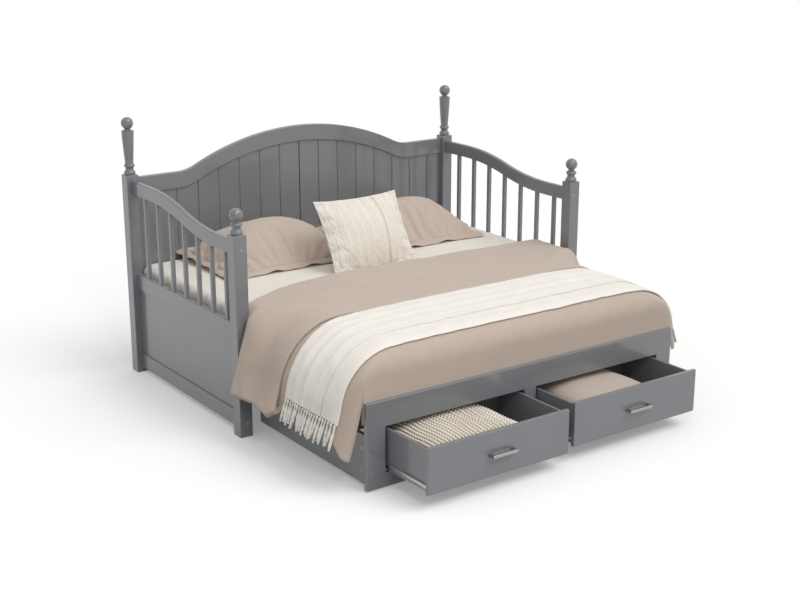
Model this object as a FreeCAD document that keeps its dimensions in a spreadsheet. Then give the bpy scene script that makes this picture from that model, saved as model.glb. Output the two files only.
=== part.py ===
# Daybed with a pull-out trundle: a painted wooden bed with turned finials, spindle arms and a grooved back,
# a rolling trundle front with drawers, interleaved slats, and the bedding that lies on it.
# The frame is at rest with the trundle and both drawers out. X runs along the bed, Y from the front
# to the back, Z up, with the origin on the floor, midway along the front posts' front faces.
import FreeCAD, Part
import math
import os
import re
from types import SimpleNamespace

doc = FreeCAD.newDocument("Daybed")

# Driving dimensions, in millimetres
SIZES = {
    # posts
    "bed_width": 2030,
    "inner_depth": 1024,
    "post_size": 64,
    "back_post_height": 1032,
    "front_post_drop": 87,
    "post_round": 3,
    "edge_round": 2,
    "cut_over": 1,
    "tenon_length": 20,
    "tenon_inset": 5,
    "tenon_shoulder": 10,
    "tenon_gap": 0.2,
    # turned finials
    "dowel_radius": 8,
    "dowel_length": 30,
    "finial_base_radius": 29,
    "finial_base_height": 18,
    "finial_bead": 3,
    "finial_cove_radius": 20,
    "finial_cove_height": 20,
    "finial_ring_radius": 27,
    "finial_ring_height": 14,
    "finial_neck_radius": 15,
    "finial_ball_radius": 30.5,
    "shaft_low_radius": 21,
    "shaft_top_radius": 31,
    "shaft_height": 158,
    "shaft_shoulder": 10,
    # back frame and its grooved panels
    "back_inset": 20,
    "back_rail_thickness": 28,
    "back_rail_height": 85,
    "back_shoulder_drop": 16,
    "crest_round": 4,
    "back_peak_rise": 169,
    "back_curve_reach": 720,
    "back_cove_radius": 230,
    "lower_rail_bottom": 525,
    "lower_rail_height": 105,
    "panel_thickness": 12,
    "panel_tongue": 9,
    "panel_play": 1,
    "panel_seam": 6,
    "board_edge": 97,
    "board_count": 7,
    "groove_width": 9,
    "groove_depth": 5,
    "batten_width": 70,
    "batten_thickness": 10,
    "batten_gap": 1,
    # arms
    "arm_inset": 26,
    "arm_thickness": 24,
    "arm_back_drop": 28,
    "arm_front_drop": 34,
    "arm_top_round": 5,
    "arm_rail_height": 66,
    "arm_back_flat": 190,
    "arm_front_flat": 150,
    "middle_rail_bottom": 445,
    "middle_rail_height": 80,
    "bottom_rail_bottom": 26,
    "bottom_rail_height": 76,
    "arm_panel_thickness": 10,
    "spindle_size": 19,
    "spindle_count": 7,
    "spindle_first": 86,
    "spindle_last": 122,
    "spindle_tenon": 14,
    # slats and their bearers
    "bearer_bottom": 276,
    "bearer_height": 24,
    "bearer_thickness": 24,
    "slat_thickness": 18,
    "slat_width": 58,
    "slat_margin": 111,
    "fixed_slat_count": 13,
    "slat_lift": 0.3,
    # bolts and barrel nuts
    "bolt_head_radius": 7,
    "bolt_head_height": 4,
    "bolt_radius": 3.5,
    "bolt_length": 95,
    "bolt_gap": 0.2,
    "bolt_socket_radius": 3.4,
    "bolt_socket_depth": 2.5,
    "post_bolt_low": 64,
    "nut_radius": 7,
    "nut_length": 17,
    "nut_slot": 2,
    "nut_slot_depth": 1.5,
    # trundle
    "trundle_out": 823,
    "trundle_gap": 74,
    "front_thickness": 22,
    "front_bottom": 5,
    "front_top": 390,
    "front_top_rail": 113,
    "front_bottom_rail": 64,
    "outer_stile": 92,
    "centre_stile": 63,
    "stile_tenon": 15,
    "stile_tenon_thickness": 8,
    "ledger_depth": 16,
    "side_inset": 16,
    "side_thickness": 18,
    "side_bottom": 20,
    "side_top": 240,
    "housing_depth": 6,
    "rear_rail_thickness": 22,
    "rear_rail_bottom": 60,
    "stop_gap": 0.5,
    "panel_bolt_high": 176,
    "panel_bolt_low": 76,
    "nut_setback": 66,
    # castors
    "wheel_radius": 25,
    "wheel_width": 20,
    "wheel_gap": 1,
    "axle_radius": 4,
    "axle_gap": 0.05,
    "axle_head": 2,
    "plate_thickness": 4,
    "plate_length": 60,
    "plate_height": 70,
    "front_wheel_setback": 110,
    "rear_wheel_setback": 70,
    # drawers
    "left_drawer_out": 295,
    "right_drawer_out": 255,
    "drawer_gap": 3,
    "drawer_front_thickness": 18,
    "drawer_length": 450,
    "drawer_wall": 12,
    "drawer_wall_drop": 12,
    "drawer_floor_bottom": 92,
    "drawer_floor_thickness": 5,
    "drawer_floor_tongue": 6,
    "drawer_wall_bottom": 80,
    "carrier_thickness": 18,
    "carrier_bottom": 72,
    "carrier_height": 110,
    "mid_rail_thickness": 18,
    "mid_rail_height": 190,
    "runner_thickness": 12.7,
    "runner_height": 30,
    "runner_bottom": 84,
    "runner_wall": 1.5,
    "runner_gap": 0.3,
    "pull_length": 130,
    "pull_reach": 34,
    "pull_bar": 10,
    "pull_height": 14,
    "pull_round": 3,
    # mattresses and bedding
    "soft_gap": 0.3,
    "mattress_side_gap": 11,
    "mattress_height": 250,
    "mattress_edge": 40,
    "mattress_parting": 4,
    "duvet_thickness": 34,
    "duvet_side_gap": 6,
    "duvet_head_left": 40,
    "duvet_head_middle": 290,
    "duvet_head_right": 220,
    "duvet_head_bend": 640,
    "duvet_tuck": 26,
    "duvet_tuck_low": 330,
    "drop_thickness": 29,
    "drop_front": 838,
    "drop_post_gap": 6,
    "drop_hem": 178,
    "drop_flare": 62,
    "drop_fold_count": 8,
    "drop_fold": 14,
    "drop_slack": 2.3,
    "throw_thickness": 11,
    "throw_hem": 188,
    "throw_first_fold": 3,
    "throw_fold_count": 4,
    "left_pillow_gap": 190,
    "right_pillow_gap": 120,
    "pillow_parting": 72,
    "pillow_depth": 575,
    "pillow_crown": 205,
    "pillow_edge": 12,
    "pillow_drawn_in": 14,
    "pillow_tilt": 3,
    "cushion_width": 505,
    "cushion_height": 400,
    "cushion_crown": 150,
    "cushion_edge": 14,
    "cushion_lean": 31,
    "cushion_front": 335,
    "cushion_x": -25,
    "blanket_depth": 400,
    "blanket_setback": 14,
    "blanket_edge": 55,
    "blanket_crown": 14,
    "left_blanket_inner_gap": 144,
    "left_blanket_outer_gap": 30,
    "left_blanket_height": 146,
    "right_blanket_inner_gap": 74,
    "right_blanket_outer_gap": 180,
    "right_blanket_height": 140,
}

sheet = doc.addObject("Spreadsheet::Sheet", "Sizes")
for row, (alias, value) in enumerate(SIZES.items(), start=1):
    sheet.set(f"A{row}", alias)
    sheet.set(f"B{row}", str(value))
    sheet.setAlias(f"B{row}", alias)
doc.recompute()
size = SimpleNamespace(**{alias: float(sheet.get(alias)) for alias in SIZES})

SIDES = {"left": -1, "right": 1}
X_AXIS = FreeCAD.Vector(1, 0, 0)
Y_AXIS = FreeCAD.Vector(0, 1, 0)
Z_AXIS = FreeCAD.Vector(0, 0, 1)


# Building blocks

def bind(text):
    """Point each size's name in an expression at its cell."""
    return re.sub(r"[a-z]\w*", lambda word: "Sizes." + word.group(), text)


def put(solid, low):
    """Tie a solid's place to expressions of the sizes."""
    for axis, text in zip("xyz", low):
        solid.setExpression("Placement.Base." + axis, bind(text))
    return solid


def box(side, low, span):
    """A box given for the right-hand half, or mirrored to the left, from its low corner and spans."""
    solid = doc.addObject("Part::Box", "Block")
    for name, text in zip(("Length", "Width", "Height"), span):
        solid.setExpression(name, bind(text))
    low_x = low[0] if side > 0 else f"-({low[0]}) - ({span[0]})"
    return put(solid, (low_x, low[1], low[2]))


def grown(low, span, gap):
    """The room that a box needs: its corner and spans with a clearance all round."""
    return [f"{text} - {gap}" for text in low], [f"{text} + 2 * {gap}" for text in span]


def rod(at, direction, radius, length):
    """A round bar from its starting point along a direction."""
    solid = doc.addObject("Part::Cylinder", "Rod")
    solid.setExpression("Radius", bind(radius))
    solid.setExpression("Height", bind(length))
    solid.Placement = FreeCAD.Placement(FreeCAD.Vector(), FreeCAD.Rotation(Z_AXIS, direction))
    return put(solid, at)


def group(pieces):
    together = doc.addObject("Part::Compound", "Group")
    together.Links = pieces
    return together


def fuse(pieces):
    joined = doc.addObject("Part::MultiFuse", "Joined")
    joined.Shapes = pieces
    return joined


def cut(base, tools):
    shaped = doc.addObject("Part::Cut", "Shaped")
    shaped.Base = base
    shaped.Tool = tools[0] if len(tools) == 1 else group(tools)
    return shaped


def outline(start, steps):
    """Edges of a closed outline: a step is a point, or a point on an arc and the arc's end."""
    edges = []
    here = FreeCAD.Vector(*start, 0)
    for step in steps + [start]:
        if isinstance(step[0], tuple):
            middle, end = (FreeCAD.Vector(*point, 0) for point in step)
            edges.append(Part.Arc(here, middle, end))
        else:
            end = FreeCAD.Vector(*step, 0)
            if end.distanceToPoint(here) < 1e-6:
                continue
            edges.append(Part.LineSegment(here, end))
        here = end
    return edges


def profile_body(plane, start, steps):
    """A body with one closed sketch on one of its origin planes."""
    body = doc.addObject("PartDesign::Body", "Body")
    sketch = body.newObject("Sketcher::SketchObject", "Profile")
    support = [feature for feature in body.Origin.OriginFeatures if feature.Role == plane][0]
    sketch.AttachmentSupport = (support, [""])
    sketch.MapMode = "FlatFace"
    sketch.addGeometry(outline(start, steps), False)
    return body, sketch


def padded_body(plane, start, steps, thickness, low):
    """A board of one thickness with a drawn outline, grown towards +X, +Y or +Z."""
    body, sketch = profile_body(plane, start, steps)
    pad = body.newObject("PartDesign::Pad", "Pad")
    pad.Profile = sketch
    pad.setExpression("Length", bind(thickness))
    pad.Reversed = plane == "XZ_Plane"
    return put(body, low)


def turned_body(start, steps, low):
    """A piece turned about its own upright axis."""
    body, sketch = profile_body("XZ_Plane", start, steps)
    turn = body.newObject("PartDesign::Revolution", "Turning")
    turn.Profile = sketch
    axis = [feature for feature in body.Origin.OriginFeatures if feature.Role == "Z_Axis"][0]
    turn.ReferenceAxis = (axis, [""])
    turn.Angle = 360
    return put(body, low)


def softened(base, radius, wanted):
    """Round the edges of a block that a test picks by their room and the block's own."""
    base.recompute(True)
    room = base.Shape.BoundBox
    rounded = doc.addObject("Part::Fillet", "Rounded")
    rounded.Base = base
    rounded.Edges = [
        (number, radius, radius)
        for number, edge in enumerate(base.Shape.Edges, start=1)
        if wanted(edge.BoundBox, room)
    ]
    return rounded


def on_top(edge, room):
    return edge.ZMin > room.ZMax - size.edge_round


def on_front(edge, room):
    return edge.YMax < room.YMin + size.edge_round


def drawn(shape, low):
    """A piece whose shape is lofted through sections, tied to its place."""
    piece = doc.addObject("Part::Feature", "Soft")
    piece.Shape = shape
    return put(piece, low)


parts = {}


def part(label, piece):
    piece.Label = label
    parts[label] = piece


# Places that several pieces share, as expressions
INNER_HALF = "(bed_width / 2 - post_size)"
POST_X = "(bed_width / 2 - post_size / 2)"
BACK_Y = "(post_size + inner_depth)"
RAIL_Y = f"({BACK_Y} + back_inset)"
ARM_X = "(bed_width / 2 - arm_inset - arm_thickness)"
BEARER_TOP = "(bearer_bottom + bearer_height)"
SLAT_TOP = f"({BEARER_TOP} + slat_thickness)"
BACK_BEARER_Y = f"({BACK_Y} + (post_size - bearer_thickness) / 2)"
FRONT_BEARER_Y = "(post_size - bearer_thickness)"
POST_HEIGHTS = {"back": "back_post_height", "front": "(back_post_height - front_post_drop)"}
ARM_BACK_TOP = "(back_post_height - arm_back_drop)"
ARM_FRONT_TOP = f"({POST_HEIGHTS['front']} - arm_front_drop)"
CREST_LOW = "(back_post_height - back_shoulder_drop - back_rail_height)"
LOWER_RAIL_TOP = "(lower_rail_bottom + lower_rail_height)"


# Joints: each tenon is one box, and its mortise is the same box with a clearance

def arm_tenon(end_y, bottom, height):
    low = (f"{ARM_X} + tenon_inset", end_y, f"{bottom} + tenon_shoulder")
    span = ("arm_thickness - 2 * tenon_inset", "tenon_length", f"{height} - 2 * tenon_shoulder")
    return low, span


def back_tenon(bottom, height):
    low = (INNER_HALF, f"{RAIL_Y} + tenon_inset", f"{bottom} + tenon_shoulder")
    span = ("tenon_length", "back_rail_thickness - 2 * tenon_inset", f"{height} - 2 * tenon_shoulder")
    return low, span


def bearer_tenon(front_y):
    low = (INNER_HALF, f"{front_y} + tenon_inset", "bearer_bottom + tenon_inset")
    span = ("tenon_length", "bearer_thickness - 2 * tenon_inset", "bearer_height - 2 * tenon_inset")
    return low, span


FRONT_END = "(post_size - tenon_length)"
ARM_RAILS = {
    "top": (f"({ARM_FRONT_TOP} - arm_rail_height)", f"({ARM_BACK_TOP} - arm_rail_height)", "arm_rail_height"),
    "middle": ("middle_rail_bottom", "middle_rail_bottom", "middle_rail_height"),
    "bottom": ("bottom_rail_bottom", "bottom_rail_bottom", "bottom_rail_height"),
}
FRONT_TENONS = {name: arm_tenon(FRONT_END, row[0], row[2]) for name, row in ARM_RAILS.items()}
BACK_TENONS = {name: arm_tenon(BACK_Y, row[1], row[2]) for name, row in ARM_RAILS.items()}
BACK_RAIL_TENONS = [
    back_tenon(CREST_LOW, "back_rail_height"),
    back_tenon("lower_rail_bottom", "lower_rail_height"),
]


def mortises(side, tenons):
    return [box(side, *grown(low, span, "tenon_gap")) for low, span in tenons]


# Bolts that hold the arms' top and bottom rails to the posts, with the head sunk in the post

def hex_socket(at, direction):
    """The six-sided recess for a key in a bolt's head."""
    recess = doc.addObject("Part::Prism", "Socket")
    recess.Polygon = 6
    recess.setExpression("Circumradius", bind("bolt_socket_radius"))
    recess.setExpression("Height", bind("bolt_socket_depth"))
    recess.Placement = FreeCAD.Placement(FreeCAD.Vector(), FreeCAD.Rotation(Z_AXIS, direction))
    return put(recess, at)


def post_bolt(side, face_y, direction, height, gap=None):
    """A bolt through a post along Y, or the room for it when a gap is given."""
    sign = "1" if direction.y > 0 else "-1"
    more = gap or "0"
    at = (f"{side} * ({ARM_X} + arm_thickness / 2)", face_y, height)
    head = rod(at, direction, f"bolt_head_radius + {more}", f"bolt_head_height + {more}")
    shank_at = (at[0], f"{face_y} + {sign} * bolt_head_height", height)
    shank = rod(shank_at, direction, f"bolt_radius + {more}", f"bolt_length + {more}")
    whole = fuse([head, shank])
    return whole if gap else cut(whole, [hex_socket(at, direction)])


BACK_FACE = f"({BACK_Y} + post_size)"
BOLTS = [
    ("front", "top", "0", Y_AXIS, f"({ARM_FRONT_TOP} - arm_rail_height / 2)"),
    ("front", "bottom", "0", Y_AXIS, "post_bolt_low"),
    ("back", "top", BACK_FACE, -Y_AXIS, f"({ARM_BACK_TOP} - arm_rail_height / 2)"),
    ("back", "bottom", BACK_FACE, -Y_AXIS, "post_bolt_low"),
]


def bolt_rooms(side, end=None, rail=None):
    """Room for the bolts through one end's post, or into one of the arm's rails."""
    return [
        post_bolt(side, face_y, direction, height, "bolt_gap")
        for bolt_end, bolt_rail, face_y, direction, height in BOLTS
        if end in (None, bolt_end) and rail in (None, bolt_rail)
    ]


# Posts, square with eased top edges, mortised for every rail
ARM_PANEL_BOTTOM = "(bottom_rail_bottom + bottom_rail_height - panel_tongue)"
ARM_PANEL_TOP = "(middle_rail_bottom + panel_tongue)"
ARM_PANEL_X = f"({ARM_X} + (arm_thickness - arm_panel_thickness) / 2)"
PANEL_Y = f"({RAIL_Y} + (back_rail_thickness - panel_thickness) / 2)"


def arm_panel_box(side, gap):
    low = (ARM_PANEL_X, "post_size - panel_tongue", ARM_PANEL_BOTTOM)
    span = ("arm_panel_thickness", "inner_depth + 2 * panel_tongue", f"{ARM_PANEL_TOP} - {ARM_PANEL_BOTTOM}")
    return box(side, *(grown(low, span, "tenon_gap") if gap else (low, span)))


def post(side, low_y, height, rooms):
    block = box(side, (INNER_HALF, low_y, "0"), ("post_size", "post_size", height))
    socket = rod((f"{side} * {POST_X}", f"{low_y} + post_size / 2", f"{height} - dowel_length"),
                 Z_AXIS, "dowel_radius + tenon_gap", "dowel_length")
    eased = softened(block, size.post_round, lambda edge, room: edge.ZMax > size.post_round)
    return cut(eased, rooms + [socket])


for name, side in SIDES.items():
    rooms = mortises(side, list(FRONT_TENONS.values()) + [bearer_tenon(FRONT_BEARER_Y)])
    rooms += [arm_panel_box(side, True)] + bolt_rooms(side, end="front")
    part(f"front_post_{name}", post(side, "0", POST_HEIGHTS["front"], rooms))
    rooms = mortises(side, list(BACK_TENONS.values()) + BACK_RAIL_TENONS + [bearer_tenon(BACK_BEARER_Y)])
    panel_low = (INNER_HALF, PANEL_Y, f"{LOWER_RAIL_TOP} - panel_tongue")
    panel_span = ("panel_tongue", "panel_thickness", f"{CREST_LOW} - {LOWER_RAIL_TOP} + panel_tongue")
    rooms += [arm_panel_box(side, True), box(side, *grown(panel_low, panel_span, "tenon_gap"))]
    rooms += bolt_rooms(side, end="back")
    part(f"back_post_{name}", post(side, BACK_Y, POST_HEIGHTS["back"], rooms))

part("frame_bolts", group([
    post_bolt(side, face_y, direction, height)
    for side in SIDES.values()
    for end, rail, face_y, direction, height in BOLTS
]))


# Turned finials: a base bead, a cove and a ring under a ball, and on the back posts a flared shaft between

def bead(radius, low_z, height, bulge):
    """An arc that swells out and comes back to the same radius."""
    return ((radius + bulge, low_z + height / 2), (radius, low_z + height))


SHAFT_SWELL = 0.58
BALL_SHOULDER = math.radians(60)


def finial_steps(shaft):
    steps = [(size.dowel_radius, -size.dowel_length), (size.dowel_radius, 0)]
    bulge = size.finial_bead
    height = size.finial_base_height
    base = size.finial_base_radius - bulge
    ring = size.finial_ring_radius - bulge
    cove_top = height + size.finial_cove_height
    cove_middle = (size.finial_cove_radius, (height + cove_top) / 2)
    steps += [(base, 0), bead(base, 0, height, bulge)]
    steps += [(cove_middle, (ring, cove_top))]
    steps += [bead(ring, cove_top, size.finial_ring_height, bulge)]
    top = cove_top + size.finial_ring_height
    if shaft:
        low = top + size.shaft_shoulder
        high = low + size.shaft_height
        flare = size.shaft_top_radius - size.shaft_low_radius
        swell = (size.shaft_low_radius + flare * SHAFT_SWELL, (low + high) / 2)
        steps += [(size.shaft_low_radius, top), (size.shaft_low_radius, low)]
        steps += [(swell, (size.shaft_top_radius, high))]
        top = high
    ball = size.finial_ball_radius
    neck = size.finial_neck_radius
    seat = math.sqrt(ball ** 2 - neck ** 2)
    centre = top + size.shaft_shoulder + seat

    def on_ball(angle):
        return (ball * math.sin(angle), centre + ball * math.cos(angle))

    steps += [(neck, top + size.shaft_shoulder / 2), (neck, centre - seat)]
    steps += [((ball, centre), on_ball(BALL_SHOULDER))]
    steps += [(on_ball(BALL_SHOULDER / 2), on_ball(0))]
    return steps


for row, shaft in (("back", True), ("front", False)):
    place_y = f"{BACK_Y} + post_size / 2" if shaft else "post_size / 2"
    part(f"{row}_finials", group([
        turned_body((0, -size.dowel_length), finial_steps(shaft),
                    (f"{side} * {POST_X}", place_y, POST_HEIGHTS[row]))
        for side in SIDES.values()
    ]))


# Back frame: a top rail that rises in a long curve, a straight lower rail and two grooved panels

inner_half = size.bed_width / 2 - size.post_size
rise = size.back_peak_rise
reach = size.back_curve_reach
curve_angle = 2 * math.atan2(rise, reach)
crown_radius = reach / math.sin(curve_angle) - size.back_cove_radius


def back_curve(height, side):
    """The crest's half outline from the middle out to the shoulder, as arc steps at one height."""
    def on_crown(angle):
        return (side * crown_radius * math.sin(angle), height + rise - crown_radius * (1 - math.cos(angle)))

    def on_cove(angle):
        drop = size.back_cove_radius * (1 - math.cos(angle))
        return (side * (reach - size.back_cove_radius * math.sin(angle)), height + drop)

    return [
        (on_crown(curve_angle / 2), on_crown(curve_angle)),
        (on_cove(curve_angle / 2), (side * reach, height)),
    ]


def reversed_steps(start, steps):
    """The same arcs walked the other way, and the point where the walk starts."""
    ends = [start] + [step[1] for step in steps]
    back = [(step[0], ends[number]) for number, step in enumerate(steps)]
    return ends[-1], back[::-1]


def crest_band(low, high, half_length):
    """A band between two copies of the crest curve, straight at both ends."""
    start, climb = reversed_steps((0, high + rise), back_curve(high, -1))
    steps = [start] + climb + back_curve(high, 1) + [(half_length, high), (half_length, low)]
    start, climb = reversed_steps((0, low + rise), back_curve(low, 1))
    steps += [start] + climb + back_curve(low, -1) + [(-half_length, low)]
    return (-half_length, high), steps


shoulder_top = size.back_post_height - size.back_shoulder_drop
rail_low = shoulder_top - size.back_rail_height
crest = padded_body("XZ_Plane", *crest_band(rail_low, shoulder_top, inner_half),
                    "back_rail_thickness", ("0", RAIL_Y, "0"))
crest = softened(crest, size.crest_round,
                 lambda edge, room: edge.YLength < size.cut_over < edge.XLength)
slot_low = rail_low - size.cut_over
slot_top = rail_low + size.panel_tongue + size.tenon_gap
crest_slot = padded_body("XZ_Plane", *crest_band(slot_low, slot_top, inner_half + size.cut_over),
                         "panel_thickness + 2 * tenon_gap", ("0", f"{PANEL_Y} - tenon_gap", "0"))
crest_tenons = [box(side, *BACK_RAIL_TENONS[0]) for side in SIDES.values()]
part("back_top_rail", fuse([cut(crest, [crest_slot])] + crest_tenons))

lower_rail = box(1, (f"-{INNER_HALF}", RAIL_Y, "lower_rail_bottom"),
                 (f"2 * {INNER_HALF}", "back_rail_thickness", "lower_rail_height"))
lower_slot = box(1, (f"-{INNER_HALF}", f"{PANEL_Y} - tenon_gap",
                     f"{LOWER_RAIL_TOP} - panel_tongue - tenon_gap"),
                 (f"2 * {INNER_HALF}", "panel_thickness + 2 * tenon_gap", "panel_tongue + tenon_gap"))
lower_tenons = [box(side, *BACK_RAIL_TENONS[1]) for side in SIDES.values()]
part("back_lower_rail", fuse([cut(lower_rail, [lower_slot])] + lower_tenons))


def board_groove(x_place, low_z, high_z):
    """A V cut down the front of a panel between two of its boards."""
    half = size.groove_width / 2
    start = (x_place - half, 0)
    steps = [(x_place, size.groove_depth), (x_place + half, 0)]
    return padded_body("XY_Plane", start, steps, f"{high_z - low_z}", ("0", PANEL_Y, f"{low_z}"))


def back_panel(side):
    low = size.lower_rail_bottom + size.lower_rail_height - size.panel_tongue
    high = rail_low + size.panel_tongue
    inner = side * size.panel_seam / 2
    outer = side * (inner_half + size.panel_tongue)
    outer_high = rail_low - size.tenon_gap
    shoulder = side * (inner_half - size.panel_play)
    pitch = (inner_half - size.board_edge) / size.board_count
    start = (inner, low)
    curve = back_curve(high, side)
    steps = [(outer, low), (outer, outer_high), (shoulder, outer_high), (shoulder, high)]
    end, climb = reversed_steps((inner, high + rise), curve)
    steps += [end] + climb
    board = padded_body("XZ_Plane", start, steps, "panel_thickness", ("0", PANEL_Y, "0"))
    grooves = [
        board_groove(side * number * pitch, low - size.cut_over, high + rise + size.cut_over)
        for number in range(1, int(size.board_count) + 1)
    ]
    return cut(board, grooves)


for name, side in SIDES.items():
    part(f"back_panel_{name}", back_panel(side))

part("back_panel_batten", box(1, ("-batten_width / 2", f"{PANEL_Y} + panel_thickness", LOWER_RAIL_TOP),
                              ("batten_width", "batten_thickness",
                               f"{CREST_LOW} + back_peak_rise - batten_gap - {LOWER_RAIL_TOP}")))


# Arms: a top rail that sweeps down to the front post, spindles, a middle and a bottom rail, and a panel

arm_run = size.inner_depth - size.arm_back_flat - size.arm_front_flat
arm_back_top = size.back_post_height - size.arm_back_drop
arm_front_top = size.back_post_height - size.front_post_drop - size.arm_front_drop
arm_fall = arm_back_top - arm_front_top
sweep_angle = 2 * math.atan2(arm_fall, arm_run)
sweep_radius = arm_run / 2 / math.sin(sweep_angle)
sweep_front = size.post_size + size.arm_front_flat
sweep_back = sweep_front + arm_run


def arm_edge(offset):
    """The swept edge from front to back as two arcs, at an offset from the rail's top edge."""
    low = arm_front_top + offset
    high = arm_back_top + offset

    def rising(angle):
        return (sweep_front + sweep_radius * math.sin(angle), low + sweep_radius * (1 - math.cos(angle)))

    def falling(angle):
        return (sweep_back - sweep_radius * math.sin(angle), high - sweep_radius * (1 - math.cos(angle)))

    return [(rising(sweep_angle / 2), rising(sweep_angle)), (falling(sweep_angle / 2), (sweep_back, high))]


def arm_edge_height(y_place, offset):
    """How high the swept edge is at one place along the arm."""
    low = arm_front_top + offset
    high = arm_back_top + offset
    along = y_place - sweep_front
    if along <= 0:
        return low
    if along >= arm_run:
        return high
    if along <= arm_run / 2:
        return low + sweep_radius - math.sqrt(sweep_radius ** 2 - along ** 2)
    return high - sweep_radius + math.sqrt(sweep_radius ** 2 - (arm_run - along) ** 2)


def spindle_places():
    count = int(size.spindle_count)
    first = size.post_size + size.spindle_first
    pitch = (size.inner_depth - size.spindle_first - size.spindle_last) / (count - 1)
    return [first + number * pitch for number in range(count)]


SPINDLE_X = f"({ARM_X} + (arm_thickness - spindle_size) / 2)"
SPINDLE_LOW = "(middle_rail_bottom + middle_rail_height - spindle_tenon)"


def spindle_box(side, y_place, gap):
    top = arm_edge_height(y_place, -size.arm_rail_height) + size.spindle_tenon
    low = (SPINDLE_X, f"{y_place} - spindle_size / 2", SPINDLE_LOW)
    span = ("spindle_size", "spindle_size", f"{top} - {SPINDLE_LOW}")
    return box(side, *(grown(low, span, "tenon_gap") if gap else (low, span)))


def on_arm_crown(edge, room):
    """Whether an edge runs along the top of a swept rail."""
    middle = edge.Center
    runs_along = edge.XLength < size.cut_over < edge.YLength
    return runs_along and middle.z > arm_edge_height(middle.y, -size.arm_rail_height / 2)


def arm_top_rail(side):
    post_back = size.post_size
    back_end = size.post_size + size.inner_depth
    front_low = arm_front_top - size.arm_rail_height
    lower_end, lower = reversed_steps((sweep_front, front_low), arm_edge(-size.arm_rail_height))
    steps = [(post_back, arm_front_top), (sweep_front, arm_front_top)] + arm_edge(0)
    steps += [(back_end, arm_back_top), (back_end, arm_back_top - size.arm_rail_height)]
    steps += [lower_end] + lower
    low_x = ARM_X if side > 0 else f"-{ARM_X} - arm_thickness"
    board = padded_body("YZ_Plane", (post_back, front_low), steps, "arm_thickness", (low_x, "0", "0"))
    crowned = softened(board, size.arm_top_round, on_arm_crown)
    tenons = [box(side, *FRONT_TENONS["top"]), box(side, *BACK_TENONS["top"])]
    rooms = [spindle_box(side, y_place, True) for y_place in spindle_places()]
    return cut(fuse([crowned] + tenons), rooms + bolt_rooms(side, rail="top"))


def arm_rail(side, name, rooms):
    bottom, _, height = ARM_RAILS[name]
    board = box(side, (ARM_X, "post_size", bottom), ("arm_thickness", "inner_depth", height))
    board = softened(board, size.edge_round, lambda edge, room: edge.YLength > size.post_size)
    tenons = [box(side, *FRONT_TENONS[name]), box(side, *BACK_TENONS[name])]
    return cut(fuse([board] + tenons), rooms)


def middle_rooms(side):
    return [spindle_box(side, y_place, True) for y_place in spindle_places()] + [arm_panel_box(side, True)]


part("arm_top_rails", group([arm_top_rail(side) for side in SIDES.values()]))
part("arm_middle_rails", group([arm_rail(side, "middle", middle_rooms(side)) for side in SIDES.values()]))
part("arm_bottom_rails", group([
    arm_rail(side, "bottom", [arm_panel_box(side, True)] + bolt_rooms(side, rail="bottom"))
    for side in SIDES.values()
]))
part("arm_panels", group([arm_panel_box(side, False) for side in SIDES.values()]))
for name, side in SIDES.items():
    part(f"{name}_arm_spindles", group([
        softened(spindle_box(side, y_place, False), size.edge_round,
                 lambda edge, room: edge.ZLength > size.spindle_size + size.edge_round)
        for y_place in spindle_places()
    ]))


# Slat bearers and the fixed slats that lie on them

def bearer(front_y):
    board = box(1, (f"-{INNER_HALF}", front_y, "bearer_bottom"),
                (f"2 * {INNER_HALF}", "bearer_thickness", "bearer_height"))
    return fuse([board] + [box(side, *bearer_tenon(front_y)) for side in SIDES.values()])


part("back_slat_bearer", bearer(BACK_BEARER_Y))
part("front_slat_bearer", bearer(FRONT_BEARER_Y))


SLAT_PITCH = f"(2 * ({INNER_HALF} - slat_margin) / (fixed_slat_count - 1))"


def slat(number, first, low_y, length, low_z):
    low_x = f"({number} - {first}) * {SLAT_PITCH} - slat_width / 2"
    return box(1, (low_x, low_y, low_z), ("slat_width", length, "slat_thickness"))


fixed_slats = int(size.fixed_slat_count)
part("daybed_slats", group([
    slat(number, (fixed_slats - 1) / 2, FRONT_BEARER_Y,
         f"{BACK_BEARER_Y} + bearer_thickness - {FRONT_BEARER_Y}", BEARER_TOP)
    for number in range(fixed_slats)
]))


# Trundle front: rails and stiles around two drawer openings
PANEL_FRONT = "(-trundle_out)"
PANEL_BACK = "(front_thickness - trundle_out)"
HALF_FRONT = f"({INNER_HALF} - trundle_gap)"
OPENING_OUTER = f"({HALF_FRONT} - outer_stile)"
OPENING_INNER = "(centre_stile / 2)"
OPENING_LOW = "(front_bottom + front_bottom_rail)"
OPENING_HIGH = "(front_top - front_top_rail)"
SIDE_X = f"({HALF_FRONT} - side_inset - side_thickness)"
SIDE_BACK = "(post_size + stop_gap + rear_rail_thickness)"
TENON_Y = f"({PANEL_FRONT} + (front_thickness - stile_tenon_thickness) / 2)"
STILES = [
    (-1, OPENING_OUTER, "outer_stile"),
    (1, OPENING_OUTER, "outer_stile"),
    (1, f"(-{OPENING_INNER})", "centre_stile"),
]


def stile_tenon(low_x, width, low_z):
    low = (f"{low_x} + tenon_shoulder", TENON_Y, low_z)
    span = (f"{width} - 2 * tenon_shoulder", "stile_tenon_thickness", "stile_tenon")
    return low, span


front_half = inner_half - size.trundle_gap


def on_front_end(edge, room):
    """Whether an edge stands at the front's left or right end."""
    at_end = max(-edge.XMin, edge.XMax) > front_half - size.edge_round
    return edge.ZLength > size.front_thickness and at_end


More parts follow.
